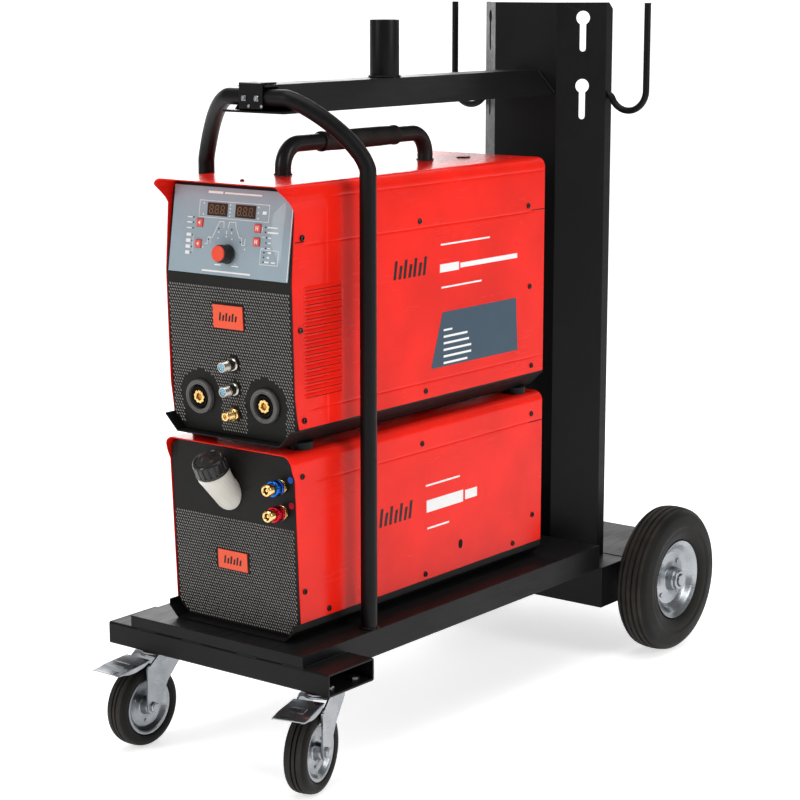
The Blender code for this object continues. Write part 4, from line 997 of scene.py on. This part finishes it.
side_words = [block(0.398, 0.7467, 0.128, 0.0026), block(0.3565, 0.7106, 0.049, 0.0125),
              block(0.4615, 0.7106, 0.153, 0.0075), block(0.3885, 0.681, 0.105, 0.0026),
              block(0.342, 0.379, 0.088, 0.0028), block(0.3475, 0.346, 0.095, 0.0190),
              block(0.4165, 0.346, 0.032, 0.0150), block(0.330, 0.311, 0.056, 0.0028)]
plate_outline = [(0.310, 0.559), (0.542, 0.558), (0.536, 0.643), (0.339, 0.643)]
plate_lines = [block(0.353, 0.6150, 0.022, 0.0030)]
plate_lines += [block(0.342 + length / 2, 0.6150 - 0.0102 * i, length, 0.0034)
                for i, length in enumerate((0.062, 0.066, 0.072, 0.072, 0.062), start=1)]
for side, label in ((-1, "left"), (1, "right")):
    marks(f"side_words_{label}", side_words, on_side(side), white_ink, "cart", "case_red", -0.0008)
    marks(f"side_plate_{label}", [plate_outline], on_side(side), slate_film, "cart", "case_red", -0.0008)
    marks(f"side_plate_words_{label}", plate_lines, on_side(side), white_ink, "cart", "case_red", 0.0001,
          0.0004)
    emblems = slanted_emblem(0.257, 0.719, 0.084, 0.028, 7) + slanted_emblem(0.222, 0.350, 0.084, 0.028, 7)
    marks(f"side_emblems_{label}", emblems, on_side(side), black_ink, "cart", "case_red", -0.0008)


# Front panels ------------------------------------------------------------------------------------
# Both fronts are moulded black panels with a field of small glossy slanted studs. The inverter's
# leans back below its nose; the field leaves a plain margin round every socket and badge.
grille_tilt = radians(3.0)
cooler_slope = 0.049
nose_z = 0.726
cooler_skirt = 0.2305
current_socket_x, current_socket_z = 0.0625, 0.544
control_sockets = {"upper": (0.004, 0.5985, "remote_socket"), "lower": (0.004, 0.562, "torch_socket")}
gas_x, gas_z = 0.003, 0.525
neck_x, neck_z = -0.0105, 0.4095
panel_black = moulded("moulded panel", (0.0090, 0.0085, 0.0080), (0.015, 0.014, 0.013), 0.56, 0.08, 520.0,
                      0.25)
stud_black = moulded("glossy studs", (0.006, 0.0058, 0.0055), (0.010, 0.0095, 0.009), 0.22, 0.06, 600.0,
                     0.05, 0.0, 0.5)
stud_nodes, stud_links = stud_black.node_tree.nodes, stud_black.node_tree.links
stud_shader = next(node for node in stud_nodes if node.type == "BSDF_PRINCIPLED")
stud_tone = stud_shader.inputs["Base Color"].links[0].from_socket
# Painted highlight: stud flanks that face up are mixed towards light grey and the rest stay black, so the
# field shows bright dashes.
stud_frame = stud_nodes.new("NodeFrame")
stud_frame.label = "Painted highlight on upper flanks"
stud_facing = stud_nodes.new("ShaderNodeNewGeometry")
stud_facing.label = "Which way the flank looks"
stud_facing.location = (-900, 620)
stud_up = stud_nodes.new("ShaderNodeSeparateXYZ")
stud_up.label = "How far it looks up"
stud_up.location = (-700, 620)
stud_lit = stud_nodes.new("ShaderNodeMapRange")
stud_lit.label = "Only flanks turned up"
stud_lit.location = (-500, 620)
stud_lit.inputs["From Min"].default_value = 0.15
stud_lit.inputs["From Max"].default_value = 0.50
stud_highlight_mix = stud_nodes.new("ShaderNodeMix")
stud_highlight_mix.label = "Painted highlight over black"
stud_highlight_mix.location = (-300, 620)
stud_highlight_mix.data_type = "RGBA"
# Light grey of the painted highlight on the upper flanks.
stud_highlight_mix.inputs[7].default_value = (0.42, 0.41, 0.39, 1.0)
for member in (stud_facing, stud_up, stud_lit, stud_highlight_mix):
    member.parent = stud_frame
stud_links.new(stud_facing.outputs["True Normal"], stud_up.inputs["Vector"])
stud_links.new(stud_up.outputs["Z"], stud_lit.inputs["Value"])
stud_links.new(stud_lit.outputs["Result"], stud_highlight_mix.inputs[0])
stud_links.new(stud_tone, stud_highlight_mix.inputs[6])
stud_links.new(stud_highlight_mix.outputs[2], stud_shader.inputs["Base Color"])
for node in ("welder_front_panel", "cooler_front_panel"):
    finish_node(node, panel_black, 0.0010)
for node in ("welder_chassis", "cooler_chassis"):
    finish_node(node, cart_paint, 0.0006)


def on_grille(x, z, lift):
    """Lower front of the inverter, which leans back as it goes down."""
    y = front - 0.0125 + np.tan(grille_tilt) * (nose_z - z) - cos(grille_tilt) * lift
    return np.stack([x + 0 * y, y, z - sin(grille_tilt) * lift + 0 * y], axis=-1)


def on_cooler(x, z, lift):
    """Front of the cooling unit, which leans back by cooler_slope of its height as it goes down."""
    y = front + 0.001 - cooler_slope * (z - cooler_skirt) - lift + 0 * x
    return np.stack([x + 0 * lift, y, z + 0 * lift], axis=-1)


def stud_field(name, surface, x_range, z_range, keep, body):
    """Roof-shaped studs in staggered rows: an outline of six points under a short ridge, repeated at
    every spot of the lattice that keep(x, z) allows."""
    pitch = 0.0047
    columns = np.arange(x_range[0], x_range[1], pitch)
    rows = np.arange(z_range[0], z_range[1], pitch * 0.94)
    x, z = np.meshgrid(columns, rows, indexing="ij")
    x = x + (np.arange(len(rows)) % 2)[None, :] * pitch / 2
    allowed = keep(x, z)
    x, z = x[allowed], z[allowed]
    length, width = 0.0050, 0.0021
    long_way = np.array([0.5, 0.22, -0.22, -0.5, -0.22, 0.22, 0.30, -0.30]) * length
    short_way = np.array([0, 0.5, 0.5, 0, -0.5, -0.5, 0, 0]) * width
    lift = np.array([0, 0, 0, 0, 0, 0, 1.2, 1.2]) * 0.001 - 0.0002
    turn = radians(128)
    along = long_way * cos(turn) - short_way * sin(turn)
    up = long_way * sin(turn) + short_way * cos(turn)
    points = surface(x[:, None] + along, z[:, None] + up, np.broadcast_to(lift, (len(x), 8)))
    faces = [(0, 1, 6), (1, 2, 7, 6), (2, 3, 7), (3, 4, 7), (4, 5, 6, 7), (5, 0, 6), (5, 4, 3, 2, 1, 0)]
    every = [(np.array(face)[None, :] + 8 * np.arange(len(x))[:, None]).tolist() for face in faces]
    mesh = bpy.data.meshes.new(name)
    mesh.from_pydata(points.reshape(-1, 3).tolist(), [], [face for group in every for face in group])
    mesh.materials.append(stud_black)
    piece = bpy.data.objects.new(name, mesh)
    bpy.context.scene.collection.objects.link(piece)
    return fitted(piece, body, "moulded_black")


def welder_field(x, z):
    """Everywhere but round the sockets, the badge and the cut-off lower corners."""
    free = np.hypot(np.abs(x) - current_socket_x, z - current_socket_z) > 0.0395
    free &= (np.abs(x) < 0.024) | (np.abs(x) > 0.098) | (z > 0.545)
    for socket_x, socket_z, _ in control_sockets.values():
        free &= np.hypot(x - socket_x, z - socket_z) > 0.0125
    free &= (np.hypot(x - gas_x, z - gas_z) > 0.0120) & (np.abs(x) - 0.1145 < z - 0.5130)
    return free & ((np.abs(x + 0.002) > 0.0305) | (np.abs(z - 0.6665) > 0.0190))


def cooler_field(x, z):
    """Everywhere but round the badge, the filler neck and the cut-off lower corners."""
    free = (np.abs(x + 0.0055) > 0.0320) | (np.abs(z - 0.305) > 0.0165)
    free &= np.abs(x) - 0.1145 < z - 0.2265
    return free & (np.hypot(x - neck_x, z - neck_z) > 0.032)


stud_field("welder_grille_studs", on_grille, (-0.1150, 0.1140), (0.4990, 0.7110), welder_field, "cart")
stud_field("cooler_grille_studs", on_cooler, (-0.1150, 0.1140), (0.2120, 0.3680), cooler_field, "cart")
for label, surface, x, z, height in (("welder", on_grille, -0.002, 0.6665, 0.0340),
                                     ("cooler", on_cooler, -0.0055, 0.3050, 0.0285)):
    marks(f"{label}_badge", [block(x, z, 0.0565, height)], surface, badge_orange, "cart", "moulded_black",
          -0.0005, 0.0016)
    marks(f"{label}_badge_emblem", slanted_emblem(x, z, 0.036, 0.012, 6), surface, black_ink, "cart",
          "moulded_black", 0.0014, 0.0018)


# Control panel -----------------------------------------------------------------------------------
# A sloped blue-grey plate carries two brown displays, four red keys, a white-printed diagram of the
# welding current, rows of small lamps, and the ribbed knob with its flat red cap.
fascia_print = moulded("fascia print", (0.30, 0.375, 0.425), (0.33, 0.405, 0.455), 0.40, 0.05, 700.0, 0.05,
                       0.0, 0.25)
lens_brown = moulded("display lens", (0.040, 0.020, 0.012), (0.055, 0.028, 0.017), 0.14, 0.03, 500.0, 0.02,
                     0.0, 0.8)
segment_brown = moulded("unlit segments", (0.190, 0.110, 0.065), (0.220, 0.130, 0.080), 0.40, 0.05, 500.0,
                        0.02)
key_red = moulded("key red", (0.78, 0.110, 0.085), (0.74, 0.13, 0.10), 0.38, 0.05, 500.0, 0.05)
cap_red = moulded("cap red", (0.84, 0.085, 0.045), (0.80, 0.10, 0.06), 0.34, 0.05, 500.0, 0.05, 0.0, 0.3)
gloss_black = moulded("gloss black", (0.012, 0.012, 0.012), (0.024, 0.023, 0.022), 0.24, 0.06, 400.0, 0.06,
                      0.0, 0.4)
finish_node("control_fascia", fascia_print, 0.0004)
finish_node("display_left", lens_brown, 0.0003)
finish_node("display_right", lens_brown, 0.0003)


fascia_tilt = radians(8.5)


def on_fascia(x, z, lift):
    """Control panel, which leans back as it goes up."""
    y = front - 0.0145 + np.tan(fascia_tilt) * (z - nose_z) - cos(fascia_tilt) * lift
    return np.stack([x + 0 * y, y, z + sin(fascia_tilt) * lift + 0 * y], axis=-1)


def digit(x, z, width, height):
    """Seven unlit segments and a point, leaning with their height."""
    lean = 0.10
    bars = [block(x + lean * dz, z + dz, width * 0.72, 0.0012) for dz in (-height / 2, 0, height / 2)]
    for dx in (-width / 2, width / 2):
        for dz in (-height / 4, height / 4):
            bars.append(block(x + dx + lean * dz - lean * height * 0.19, z + dz, 0.0012, height * 0.38,
                              lean * height * 0.38))
    return bars + [spot(x + width * 0.78, z - height / 2, 0.0008, 8)]


segments = []
for display_x in (-0.0270, 0.0263):
    for i in (-1, 0, 1):
        segments += digit(display_x + 0.0108 * i - 0.0006, 0.8185, 0.0058, 0.0112)
marks("display_segments", segments, on_fascia, segment_brown, "cart", "display_lens", 0.0009, 0.0013)

frame_line = 0.0007
art = [block(0.004, 0.8302, 0.132, frame_line), block(0.004, 0.8065, 0.132, frame_line),
       block(-0.062, 0.81835, frame_line, 0.0244), block(0.070, 0.81835, frame_line, 0.0244),
       block(-0.0335, 0.8425, 0.028, 0.0034, 0.0006), block(0.0190, 0.8425, 0.070, 0.0026, 0.0005),
       block(-0.0020, 0.7315, 0.092, 0.0024), block(-0.0185, 0.7410, 0.012, 0.0016),
       block(0.0140, 0.7410, 0.013, 0.0016),
       stroke([(-0.0210, 0.7435), (-0.0190, 0.7455), (-0.0170, 0.7435)], 0.0006),
       stroke([(0.0120, 0.7435), (0.0140, 0.7455), (0.0160, 0.7435)], 0.0006)]
art += [stroke(points, 0.0008) for points in (
    [(-0.0470, 0.7690), (-0.0420, 0.7692), (-0.0410, 0.7790), (-0.0375, 0.7795), (-0.0365, 0.7710)],
    [(-0.0370, 0.7780), (-0.0330, 0.7785), (-0.0215, 0.8020), (-0.0130, 0.8022), (-0.0125, 0.7935)],
    [(-0.0040, 0.7935), (-0.0030, 0.8022), (0.0095, 0.8025), (0.0110, 0.7940)],
    [(0.0120, 0.7930), (0.0180, 0.7815), (0.0225, 0.7815), (0.0235, 0.7715), (0.0285, 0.7715),
     (0.0295, 0.7810)])]
art += [spot(x, z, 0.0011, 10) for x, z in (
    (-0.0540, 0.8262), (-0.0540, 0.8105), (-0.0035, 0.8262), (-0.0035, 0.8210), (-0.0035, 0.8157),
                                            (-0.0035, 0.8105),
    (0.0500, 0.8262), (0.0500, 0.8184), (0.0500, 0.8105), (-0.0215, 0.7870), (-0.0220, 0.7785),
                                            (0.0030, 0.7870),
    (0.0045, 0.7785), (-0.0500, 0.7640), (0.0300, 0.7660), (-0.0065, 0.7815))]
art += [block(0.0610, 0.8190, 0.0070, 0.0045, 0.0010), block(-0.0065, 0.7875, 0.0012, 0.0050)]
art += [block(-0.0790, z, width, height) for z, width, height in (
    (0.8050, 0.0090, 0.0018), (0.7975, 0.0100, 0.0018), (0.7895, 0.0090, 0.0016), (0.7800, 0.0085, 0.0044),
    (0.7715, 0.0085, 0.0050), (0.7630, 0.0085, 0.0048), (0.7545, 0.0080, 0.0048))]
art += [block(-0.0700, 0.7670, frame_line, 0.0290), block(0.0790, 0.7995, 0.0190, 0.0018),
        block(0.0800, 0.7925, 0.0200, 0.0024), block(0.0600, 0.7960, frame_line, 0.0070)]
art += [stroke([(0.0600, 0.7855), (0.0660, 0.7855)], frame_line),
        stroke([(0.0600, 0.7700), (0.0660, 0.7700)], frame_line)]
art += [block(0.0745, z, 0.0055, 0.0016) for z in (0.7850, 0.7780, 0.7705)]
art += [block(0.0765, 0.7680, 0.0330, frame_line), block(0.0765, 0.7475, 0.0330, frame_line),
        block(0.0600, 0.75775, frame_line, 0.0212), block(0.0930, 0.75775, frame_line, 0.0212)]
art += [block(0.0765, 0.7645, 0.0060, 0.0024), block(0.0745, 0.7578, 0.0040, 0.0024),
        block(0.0725, 0.7512, 0.0080, 0.0024), block(0.0845, 0.7512, 0.0070, 0.0020)]
marks("fascia_print_white", art, on_fascia, white_ink, "cart", "fascia_slate", -0.0003, 0.00022)
# Painted highlight: a thin white strip along the fascia's right edge, in the white print finish.
marks("fascia_edge_highlight", [block(0.1126, 0.7885, 0.0011, 0.122)], on_fascia, white_ink, "cart",
      "fascia_slate", -0.0003, 0.00018)
lamps = [spot(x, z, 0.0011, 10) for x, z in (
    (-0.0715, 0.8050), (-0.0715, 0.7975), (-0.0715, 0.7895), (-0.0715, 0.7800), (-0.0715, 0.7715),
                                             (-0.0715, 0.7630),
    (-0.0715, 0.7545), (0.0660, 0.7995), (0.0660, 0.7925), (0.0690, 0.7850), (0.0690, 0.7780),
                                             (0.0690, 0.7705),
    (0.0665, 0.7645), (0.0665, 0.7578), (0.0665, 0.7512), (-0.0215, 0.7920), (0.0030, 0.7920),
                                             (-0.0400, 0.7755),
    (0.0210, 0.7755))]
marks("fascia_lamps", lamps, on_fascia, gloss_black, "cart", "fascia_slate", -0.0003, 0.0006)
for label, x, z in (("pulse", -0.0585, 0.798), ("mode", -0.0585, 0.768), ("store", 0.0515, 0.797),
                    ("process", 0.0515, 0.778)):
    finish_node(f"{label}_button", key_red, 0.0007)
    if x < 0:
        icon = [[(x - 0.0024, z), (x + 0.0018, z + 0.0030), (x + 0.0018, z - 0.0030)]]
    else:
        icon = [block(x - 0.0018, z, 0.0012, 0.0062), block(x + 0.0018, z, 0.0012, 0.0062),
                block(x, z, 0.0026, 0.0011)]
    marks(f"{label}_key_print", icon, on_fascia, white_ink, f"{label}_key", "button_red", 0.0018, 0.0024)

fascia_out = np.array([0.0, -cos(fascia_tilt), sin(fascia_tilt)])
knob_foot = on_fascia(-0.001, 0.757, 0.0)
knob_wall = eased([(0, 0.0006), (0.0140, 0.0006), (0.0142, 0.0022), (0.0134, 0.0036), (0.0128, 0.0190),
                   (0.0122, 0.0202), (0.0117, 0.0204), (0.0117, 0.0196), (0, 0.0196)], 0.0004)


def knob_ribs(height, angle):
    """Twenty-four finger ribs between the skirt and the cap."""
    return -0.0006 * np.clip(np.cos(24 * angle) * 2.2, 0, 1) * ((height > 0.0036) & (height < 0.0190))


fitted(skin("knob_body", turning(knob_wall, knob_foot, fascia_out, 192, knob_ribs), gloss_black, crease=40),
       "knob", "moulded_black", "control_knob")
cap_wall = eased([(0, 0.0192), (0.0114, 0.0192), (0.0114, 0.0222), (0.0106, 0.0230), (0, 0.0230)], 0.0006)
fitted(skin("knob_cap", turning(cap_wall, knob_foot, fascia_out, 64), cap_red), "knob", "button_red")


# Sockets -----------------------------------------------------------------------------------------
# Two bayonet current sockets in grey rings with castellated brass inserts, two threaded control
# sockets with pale blue inserts, and a brass gas outlet with a hexagon.
grille_out = np.array([0.0, -cos(grille_tilt), -sin(grille_tilt)])
ring_grey = moulded("socket ring", (0.105, 0.103, 0.098), (0.140, 0.136, 0.130), 0.38, 0.06, 400.0, 0.08,
                    0.0, 0.2)
brass = plated("turned brass", (0.90, 0.62, 0.25), (0.78, 0.50, 0.18), 0.22, 0.07, 14.0)
amber = plated("brass bore", (0.62, 0.32, 0.06), (0.45, 0.20, 0.03), 0.30, 0.06, 14.0)
nickel = plated("nickel plate", (0.56, 0.53, 0.47), (0.38, 0.35, 0.30), 0.20, 0.06, 12.0)
pale_blue = moulded("pale blue insert", (0.10, 0.42, 0.72), (0.16, 0.50, 0.78), 0.30, 0.05, 300.0, 0.05,
                    0.0, 0.4)
for label, side in (("minus", -1), ("plus", 1)):
    foot = on_grille(side * current_socket_x, current_socket_z, 0.0)
    bezel = eased([(0.0186, 0.0004), (0.0252, 0.0004), (0.0252, 0.0056), (0.0242, 0.0074), (0.0224, 0.0079),
                   (0.0214, 0.0066), (0.0202, 0.0078), (0.0190, 0.0074), (0.0186, 0.0060),
                   (0.0186, 0.0004)], 0.0005)
    fitted(skin(f"socket_bezel_{label}", turning(bezel, foot, grille_out, 96), ring_grey, loop=True,
                crease=40),
           "cart", "moulded_black", f"current_socket_{label}")
    well = eased([(0, 0.0004), (0.0187, 0.0004), (0.0187, 0.0010), (0.0150, 0.0012), (0.0148, 0.0050),
                  (0.0136, 0.0056), (0.0126, 0.0050), (0.0126, 0.0012), (0, 0.0012)], 0.0003)
    fitted(skin(f"socket_well_{label}", turning(well, foot, grille_out, 72), near_black), "cart",
           "moulded_black")
    insert = eased([(0.0052, 0.0010), (0.0104, 0.0010), (0.0104, 0.0058), (0.0094, 0.0066),
                    (0.0062, 0.0066), (0.0052, 0.0056), (0.0052, 0.0010)], 0.0004)
    teeth = turning(insert, foot, grille_out, 96, lambda h,
                    a: -0.0011 * np.clip(3 * np.cos(9 * a), 0, 1) * (h > 0.002))
    fitted(skin(f"socket_insert_{label}", teeth, brass, loop=True, crease=40), "cart", "brass")
    pin = eased([(0, 0.0010), (0.0053, 0.0010), (0.0053, 0.0022), (0.0034, 0.0040), (0, 0.0040)], 0.0003)
    fitted(skin(f"socket_bore_{label}", turning(pin, foot, grille_out, 40), amber), "cart", "brass")


def thread(pitch, depth, start, end):
    """Ripple of the radius that turns with the height: a screw thread between two heights."""
    def ripple(height, angle):
        turned_by = height / pitch * 2 * pi - angle
        return -depth * (0.5 + 0.5 * np.cos(turned_by)) * ((height > start) & (height < end))
    return ripple


def fine_rows(outline, step=0.0002):
    """The outline with extra points, no further apart than a step."""
    outline = np.asarray(outline, float)
    length = np.concatenate([[0], np.cumsum(np.linalg.norm(np.diff(outline, axis=0), axis=1))])
    even = np.unique(np.concatenate([length, np.arange(0, length[-1], step)]))
    return np.stack([np.interp(even, length, outline[:, i]) for i in (0, 1)], axis=-1)


for label, (x, z, node) in control_sockets.items():
    foot = on_grille(x, z, 0.0)
    barrel = fine_rows([(0.0058, 0.0004), (0.0098, 0.0004), (0.0098, 0.0036), (0.0090, 0.0044),
                        (0.0078, 0.0048), (0.0078, 0.0150), (0.0072, 0.0154), (0.0072, 0.0166),
                        (0.0078, 0.0170), (0.0078, 0.0262), (0.0072, 0.0270), (0.0060, 0.0270),
                        (0.0058, 0.0240), (0.0058, 0.0004)])
    fitted(skin(f"control_socket_{label}", turning(barrel, foot, grille_out, 40,
                                                   thread(0.0010, 0.0004, 0.0175, 0.0258)),
                nickel, loop=True, crease=50), "cart", "aluminium", node)
    insert = [turning(eased([(0, 0.0010), (0.0057, 0.0010), (0.0057, 0.0252), (0.0050, 0.0260),
                             (0, 0.0260)], 0.0004),
                      foot, grille_out, 32)]
    pins = [turning(np.array([(0, 0.0255), (0.0007, 0.0255), (0.0007, 0.0269), (0, 0.0269)]),
                    foot + 0.0032 * (cos(a) * np.array([1.0, 0, 0]) + sin(a) * np.array([0, 0, 1.0])),
                    grille_out, 10)
            for a in (0.3, 1.6, 2.8, 4.1, 5.3)]
    fitted(gathered(f"control_insert_{label}", insert, pale_blue), "cart", "aluminium")
    fitted(gathered(f"control_pins_{label}", pins, brass), "cart", "brass")

gas_foot = on_grille(gas_x, gas_z, 0.0)
gas_nut = turning(np.array([(0, 0.0004), (0.0104, 0.0004), (0.0104, 0.0062), (0.0096, 0.0070),
                            (0, 0.0070)]),
                  gas_foot, grille_out, 6)
gas_barrel = turning(fine_rows([(0, 0.0060), (0.0074, 0.0060), (0.0074, 0.0100), (0.0068, 0.0104),
                                (0.0068, 0.0222), (0.0060, 0.0238), (0.0036, 0.0240), (0.0032, 0.0232),
                                (0.0032, 0.0150), (0, 0.0150)]),
                     gas_foot, grille_out, 36, thread(0.0012, 0.0005, 0.0110, 0.0215))
fitted(gathered("gas_outlet_brass", [gas_nut, gas_barrel], brass, crease=50), "cart", "brass", "gas_outlet")


# Carrying handle ---------------------------------------------------------------------------------
# A bent tube on short collars, with a thicker rubber sleeve over its middle. The sleeve has a raised
# ring at each end and a fine grain.
handle_front, handle_rear = 0.1115, 0.4555
handle_z, handle_bend = 0.905, 0.034
quarter = np.linspace(0, pi / 2, 18)
rise = np.linspace(welder_roof + 0.0003, handle_z - handle_bend, 12, endpoint=False)
handle_y = np.concatenate([np.full(12, handle_front), handle_front + handle_bend * (1 - np.cos(quarter)),
                           np.linspace(0.16, 0.40, 20),
                           handle_rear - handle_bend * (1 - np.cos(quarter[::-1])),
                           np.full(12, handle_rear)])
handle_heights = np.concatenate([rise, handle_z - handle_bend * (1 - np.sin(quarter)),
                                 np.full(20, handle_z),
                                 handle_z - handle_bend * (1 - np.sin(quarter[::-1])), rise[::-1]])
handle_path = np.stack([np.zeros(handle_y.shape), front + handle_y, handle_heights], axis=-1)
handle_black = moulded("handle tube", (0.016, 0.016, 0.017), (0.030, 0.029, 0.028), 0.34, 0.08, 420.0, 0.12,
                       0.0, 0.1)
fitted(skin("handle_tube", tube(handle_path, (1, 0, 0), tube_radius, 40), handle_black), "cart",
       "moulded_black", "carrying_handle")
collars = [turning(eased([(0.0120, 0.0004), (0.0140, 0.0004), (0.0141, 0.0018), (0.0134, 0.0028),
                          (0.0124, 0.0030), (0.0120, 0.0004)], 0.0005), (0, front + y, welder_roof),
                   (0, 0, 1), 48)
           for y in (handle_front, handle_rear)]
fitted(gathered("handle_collars", collars, handle_black, loops=True), "cart", "moulded_black")
grip_rubber = moulded("grip rubber", (0.016, 0.015, 0.015), (0.034, 0.032, 0.030), 0.56, 0.08, 300.0, 0.45)
grip_wall = eased([(0.0125, 0), (0.0148, 0), (0.0152, 0.0014), (0.0152, 0.0060), (0.0145, 0.0072),
                   (0.0143, 0.0100), (0.0149, 0.0400), (0.0150, 0.0910), (0.0149, 0.1420), (0.0143, 0.1720),
                   (0.0145, 0.1748), (0.0152, 0.1760), (0.0152, 0.1806), (0.0148, 0.1820), (0.0125, 0.1820),
                   (0.0125, 0)], 0.0008)
fitted(skin("handle_grip_sleeve", turning(grip_wall, (0, front + 0.196, handle_z), (0, 1, 0), 72),
            grip_rubber, loop=True),
       "cart", "rubber", "handle_grip")


# Coolant filler and couplings --------------------------------------------------------------------
# The tank's neck comes through the front panel, in milky plastic, under a ribbed black screw cap. Two
# brass quick couplings have knurled release sleeves, blue for supply and red for return.
tank_plastic = moulded("milky plastic", (0.66, 0.64, 0.58), (0.72, 0.70, 0.65), 0.38, 0.06, 200.0, 0.08,
                       0.0, 0.15)
milky = next(node for node in tank_plastic.node_tree.nodes if node.type == "BSDF_PRINCIPLED")
milky.inputs["Subsurface Weight"].default_value = 0.35
milky.inputs["Subsurface Radius"].default_value = (0.006, 0.005, 0.004)
milky.inputs["Subsurface Scale"].default_value = 1.0
finish_node("coolant_tank", tank_plastic, 0.0012)
lean = np.array([0.0, -0.454, 0.891]) / np.hypot(0.454, 0.891)
cap_foot = np.array([neck_x, front - 0.038, 0.4437])
cap_wall = fine_rows(eased([(0.0208, 0.0004), (0.0250, 0.0004), (0.0255, 0.0016), (0.0255, 0.0040),
                            (0.0251, 0.0048), (0.0251, 0.0195), (0.0244, 0.0222), (0.0228, 0.0238),
                            (0.0206, 0.0240), (0.0198, 0.0232), (0.0190, 0.0226), (0.0100, 0.0226),
                            (0.0092, 0.0232), (0, 0.0232), (0, 0.0192), (0.0208, 0.0192), (0.0208, 0.0004)],
                           0.0006), 0.0008)


def cap_ribs(height, angle):
    """Grooves between eighteen broad grips, on the wall above the foot ring."""
    return -0.0013 * np.clip(2.6 * np.cos(18 * angle) - 1.2, 0, 1) * ((height > 0.0048) & (height < 0.0205))


fitted(skin("filler_cap_ribbed", turning(cap_wall, cap_foot, lean, 216, cap_ribs), gloss_black, loop=True,
            crease=38),
       "cap", "moulded_black", "filler_cap")

coupling_x = 0.096
blue_anodised = plated("blue anodised", (0.02, 0.17, 0.70), (0.015, 0.10, 0.46), 0.24, 0.06, 12.0)
red_anodised = plated("red anodised", (0.62, 0.015, 0.040), (0.40, 0.010, 0.025), 0.24, 0.06, 12.0)
for label, z, finish, slot, dot_colour, dot_second_colour in (
        ("supply", 0.432, blue_anodised, "sleeve_blue", (0.02, 0.10, 0.42), (0.03, 0.12, 0.46)),
        ("return", 0.394, red_anodised, "sleeve_red", (0.42, 0.012, 0.030), (0.46, 0.02, 0.04))):
    foot = on_cooler(coupling_x, z, 0.0006)
    hexagon = turning(np.array([(0, 0.0004), (0.0114, 0.0004), (0.0114, 0.0036), (0.0104, 0.0042),
                                (0, 0.0042)]),
                      foot, (0, -1, 0), 6)
    barrel = turning(eased([(0, 0.0030), (0.0090, 0.0030), (0.0090, 0.0046), (0.0078, 0.0048),
                            (0.0078, 0.0250), (0.0088, 0.0256), (0.0090, 0.0268), (0.0090, 0.0340),
                            (0.0082, 0.0358), (0.0062, 0.0365), (0.0046, 0.0358), (0.0044, 0.0190),
                            (0, 0.0190)], 0.0005), foot, (0, -1, 0), 48)
    inner = turning(eased([(0, 0.0180), (0.0030, 0.0180), (0.0030, 0.0330), (0.0018, 0.0340), (0, 0.0340)],
                          0.0004),
                    foot, (0, -1, 0), 24)
    fitted(gathered(f"{label}_coupling_brass", [hexagon, barrel, inner], brass, crease=40), "cart", "brass",
           f"{label}_coupling")
    wall = eased([(0.0082, 0.0082), (0.0112, 0.0082), (0.0118, 0.0092), (0.0118, 0.0112), (0.0110, 0.0118),
                  (0.0116, 0.0126), (0.0116, 0.0200), (0.0110, 0.0208), (0.0118, 0.0214), (0.0118, 0.0226),
                  (0.0110, 0.0236), (0.0082, 0.0236), (0.0082, 0.0082)], 0.0003)
    knurl = turning(wall, foot, (0, -1, 0), 144,
                    lambda h, a: -0.0005 * (0.5 + 0.5 * np.cos(24 * a)) * ((h > 0.0120) & (h < 0.0206)))
    fitted(skin(f"{label}_sleeve_knurled", knurl, finish, loop=True, crease=45), f"{label}_ring", slot,
           f"{label}_sleeve")
    # Beside each coupling, a disc in the colour of its sleeve lies on the panel.
    dot_finish = moulded(f"{label} dot", dot_colour, dot_second_colour, 0.4, 0.05, 600.0, 0.04)
    marks(f"{label}_dot", [spot(0.1115, z + 0.011, 0.0048, 28)], on_cooler, dot_finish, "cart", slot)


# Rear wall and inner parts -----------------------------------------------------------------------
# The rotary switch and the cable gland are moulded. Wire guards cover the two round outlets, with
# the fans behind them; inside are finned aluminium blocks and the pump.
finish_node("main_switch", gloss_black, 0.0008)
finish_node("mains_gland", panel_black, 0.0006)
for node in ("welder_fan", "cooler_fan"):
    finish_node(node, panel_black, 0)
alloy = plated("cast aluminium", (0.62, 0.63, 0.64), (0.52, 0.53, 0.55), 0.42, 0.10, 8.0)
for node in ("power_module", "radiator", "coolant_pump"):
    finish_node(node, alloy, 0)
rear_wall = front + case_length - 0.001
for label, z in (("welder", 0.700), ("cooler", 0.350)):
    wires = []
    around = np.linspace(0, 2 * pi, 72)
    for radius in (0.014, 0.026, 0.038, 0.050):
        ring = np.stack([radius * np.cos(around), np.full(72, rear_wall + 0.0006),
                         z + radius * np.sin(around)], axis=-1)
        wires.append(tube(ring, (0, 1, 0), 0.0009, 10))
    for angle in (pi / 4, 3 * pi / 4):
        t = np.linspace(-0.060, 0.060, 30)
        spoke = np.stack([t * cos(angle), np.full(30, rear_wall - 0.0003), z + t * sin(angle)], axis=-1)
        wires.append(tube(spoke, (0, 1, 0), 0.0009, 10))
    fitted(gathered(f"{label}_fan_guard", wires, zinc, crease=60), "cart", "zinc")
